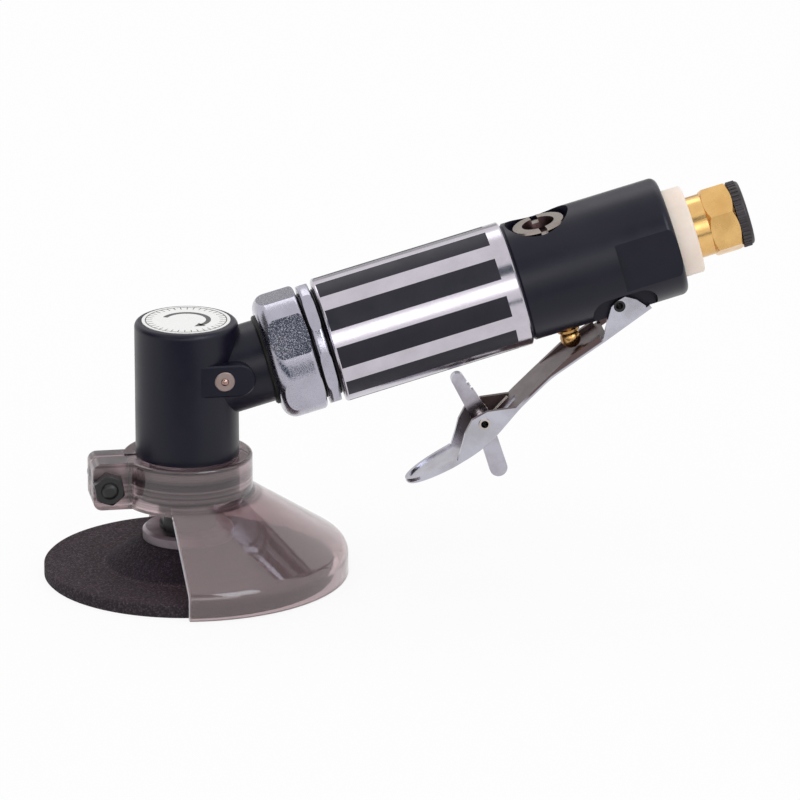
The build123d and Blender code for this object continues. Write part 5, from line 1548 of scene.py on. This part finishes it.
@dataclass(frozen=True)
class Softbox(Panel):
    """A soft rectangular lamp.

    Attributes:
        radiance: How bright its face is, 1 being white.
        mirrored: Whether reflections show it.
    """

    radiance: float
    mirrored: bool = True

    def build(self) -> None:
        """Sets up the lamp."""
        data = bpy.data.lights.new(self.name, "AREA")
        data.shape = "RECTANGLE"
        data.size = self.width
        data.size_y = self.height
        data.energy = self.radiance * math.pi * self.width * self.height
        lamp = bpy.data.objects.new(self.name, data)
        bpy.context.scene.collection.objects.link(lamp)
        lamp.matrix_world = self.stance("-Z")
        lamp.visible_camera = False
        lamp.visible_glossy = self.mirrored


@dataclass(frozen=True)
class ShadeCard(Panel):
    """A card that only reflections see, to give the metal and the guard darker or brighter bands.

    Attributes:
        tone: How bright it looks in a reflection.
        blue: How far it leans to blue.
    """

    tone: float
    blue: float = 0.0

    def build(self) -> None:
        """Sets up the card."""
        Bench.clear_selection()
        bpy.ops.mesh.primitive_plane_add(size=1.0)
        card = Bench.take(self.name)
        size = Matrix.Diagonal((self.width, self.height, 1.0, 1.0))
        Bench.settle(card, self.stance("Z") @ size)
        material = bpy.data.materials.new(self.name)
        tree = ShaderTree(bare_tree(material))
        glow = tree.add("ShaderNodeEmission", {"Color": grey(self.tone, -self.blue), "Strength": 1.0})
        tree.add("ShaderNodeOutputMaterial", {"Surface": glow.outputs["Emission"]})
        card.data.materials.append(material)
        card.visible_camera = False
        card.visible_diffuse = False
        card.visible_transmission = False
        card.visible_shadow = False


@dataclass
class Studio:
    """The plain pale floor, the light and the camera.

    Attributes:
        floor_size: Width of the floor.
        floor_level: Height of the floor.
        floor_white: How far the floor looks plain white where it is seen.
        floor_tone: How bright the floor is for soft light.
        ambient: Brightness of the surroundings for soft light.
        camera: The photograph's camera.
        lamps: The softboxes.
        cards: The shade cards.
    """

    floor_size: float = 60.0
    floor_level: float = -0.05 * MM
    floor_white: float = 0.9
    floor_tone: float = 0.9
    ambient: float = 0.72
    camera: Camera = field(default_factory=Camera)
    lamps: tuple[Softbox, ...] = (
        Softbox("top_box", (0.05, -0.1, 1.2), (0.08, 0.0, 0.06), 1.3, 1.0, 0.6, False),
        Softbox("rear_box", (0.1, 0.85, 1.1), (0.08, 0.0, 0.08), 1.4, 0.5, 1.2),
        Softbox("front_box", (0.15, -1.75, 0.66), (0.08, 0.0, 0.08), 1.7, 0.5, 1.5),
    )
    cards: tuple[ShadeCard, ...] = (
        ShadeCard("front_shade", (-0.19, -1.1, 1.22), (0.04, 0.0, 0.08), 1.4, 0.46, 0.11, 0.022),
        ShadeCard("rear_shade", (0.3, 1.8, 0.5), (0.3, 0.0, 0.1), 0.84, 0.5, 0.45),
        ShadeCard("floor_shade", (-0.25, -0.45, 0.002), (-0.25, -0.45, 1.0), 0.64, 0.56, 0.1, 0.04),
        ShadeCard("left_shade", (-1.0, 0.15, 0.5), (0.03, 0.0, 0.08), 1.0, 0.7, 0.13),
        ShadeCard("flat_shade", (0.215, -0.45, 0.002), (0.215, -0.45, 1.0), 0.2, 0.2, 0.05, 0.03),
        ShadeCard("guard_glint", (0.66, -1.0, 1.0), (0.02, 0.0, 0.01), 0.7, 0.8, 5.0, 0.3),
    )

    def build(self) -> None:
        """Sets up everything round the tool."""
        bpy.context.scene.view_settings.view_transform = "Standard"
        self._world()
        self._floor()
        for item in (*self.cards, *self.lamps, self.camera):
            item.build()
        LOG.info("studio with %d lamps and %d cards", len(self.lamps), len(self.cards))

    @staticmethod
    def _seen(tree: ShaderTree) -> Socket:
        """Where the background is looked at straight on, in a reflection or through the guard.

        Args:
            tree: The tree that asks.

        Returns:
            The mask.
        """
        path = tree.add("ShaderNodeLightPath").outputs
        straight = tree.math("MAXIMUM", path["Is Camera Ray"], path["Is Glossy Ray"])
        return tree.math("MAXIMUM", straight, path["Is Transmission Ray"])

    def _world(self) -> None:
        """White surroundings that give a softer light."""
        world = bpy.data.worlds.new("white_studio")
        bpy.context.scene.world = world
        tree = ShaderTree(bare_tree(world))
        strength = tree.ramp(self._seen(tree), 0.0, 1.0, self.ambient, 1.0)
        sky = tree.add("ShaderNodeBackground", {"Color": grey(1.0), "Strength": strength})
        tree.add("ShaderNodeOutputWorld", {"Surface": sky.outputs["Background"]})

    def _floor(self) -> None:
        """The pale floor, which keeps a soft shadow."""
        Bench.clear_selection()
        spot = (0.0, 0.0, self.floor_level)
        bpy.ops.mesh.primitive_plane_add(size=self.floor_size, location=spot)
        floor = Bench.take("studio_floor")
        Bench.settle(floor, Matrix.Identity(4))
        material = bpy.data.materials.new("pale floor")
        tree = ShaderTree(bare_tree(material))
        matte = tree.add("ShaderNodeBsdfDiffuse", {"Color": grey(self.floor_tone)})
        white = tree.add("ShaderNodeEmission", {"Color": grey(1.0), "Strength": 1.0})
        share = tree.math("MULTIPLY", self._seen(tree), self.floor_white)
        shaders = {"Fac": share, 1: matte.outputs["BSDF"], 2: white.outputs["Emission"]}
        both = tree.add("ShaderNodeMixShader", shaders)
        tree.add("ShaderNodeOutputMaterial", {"Surface": both.outputs["Shader"]})
        floor.data.materials.append(material)


def corners(box: tuple[Vector, Vector]) -> list[list[float]]:
    """A box's lowest and highest corners as plain lists of numbers."""
    return [[float(value) for value in corner] for corner in box]


def report(pieces: Iterable[Piece]) -> None:
    """Logs each new piece and how many faces it has."""
    for piece in pieces:
        LOG.info("%s: %d faces", piece.name, len(piece.data.polygons))


def main() -> None:
    """Dresses the tool, adds its fine detail and sets up the studio."""
    logging.basicConfig(level=logging.INFO, format="%(message)s")
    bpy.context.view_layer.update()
    wardrobe = Wardrobe()
    wardrobe.dress_nodes(frame["nodes"])
    for assembly in (DialPrint(), Coupling(), InletEnd(), ThrottleSpring(), GuardEdge()):
        report(assembly.build(wardrobe))
    Studio().build()
    Bench.clear_selection()


if __name__ == "__main__":
    main()
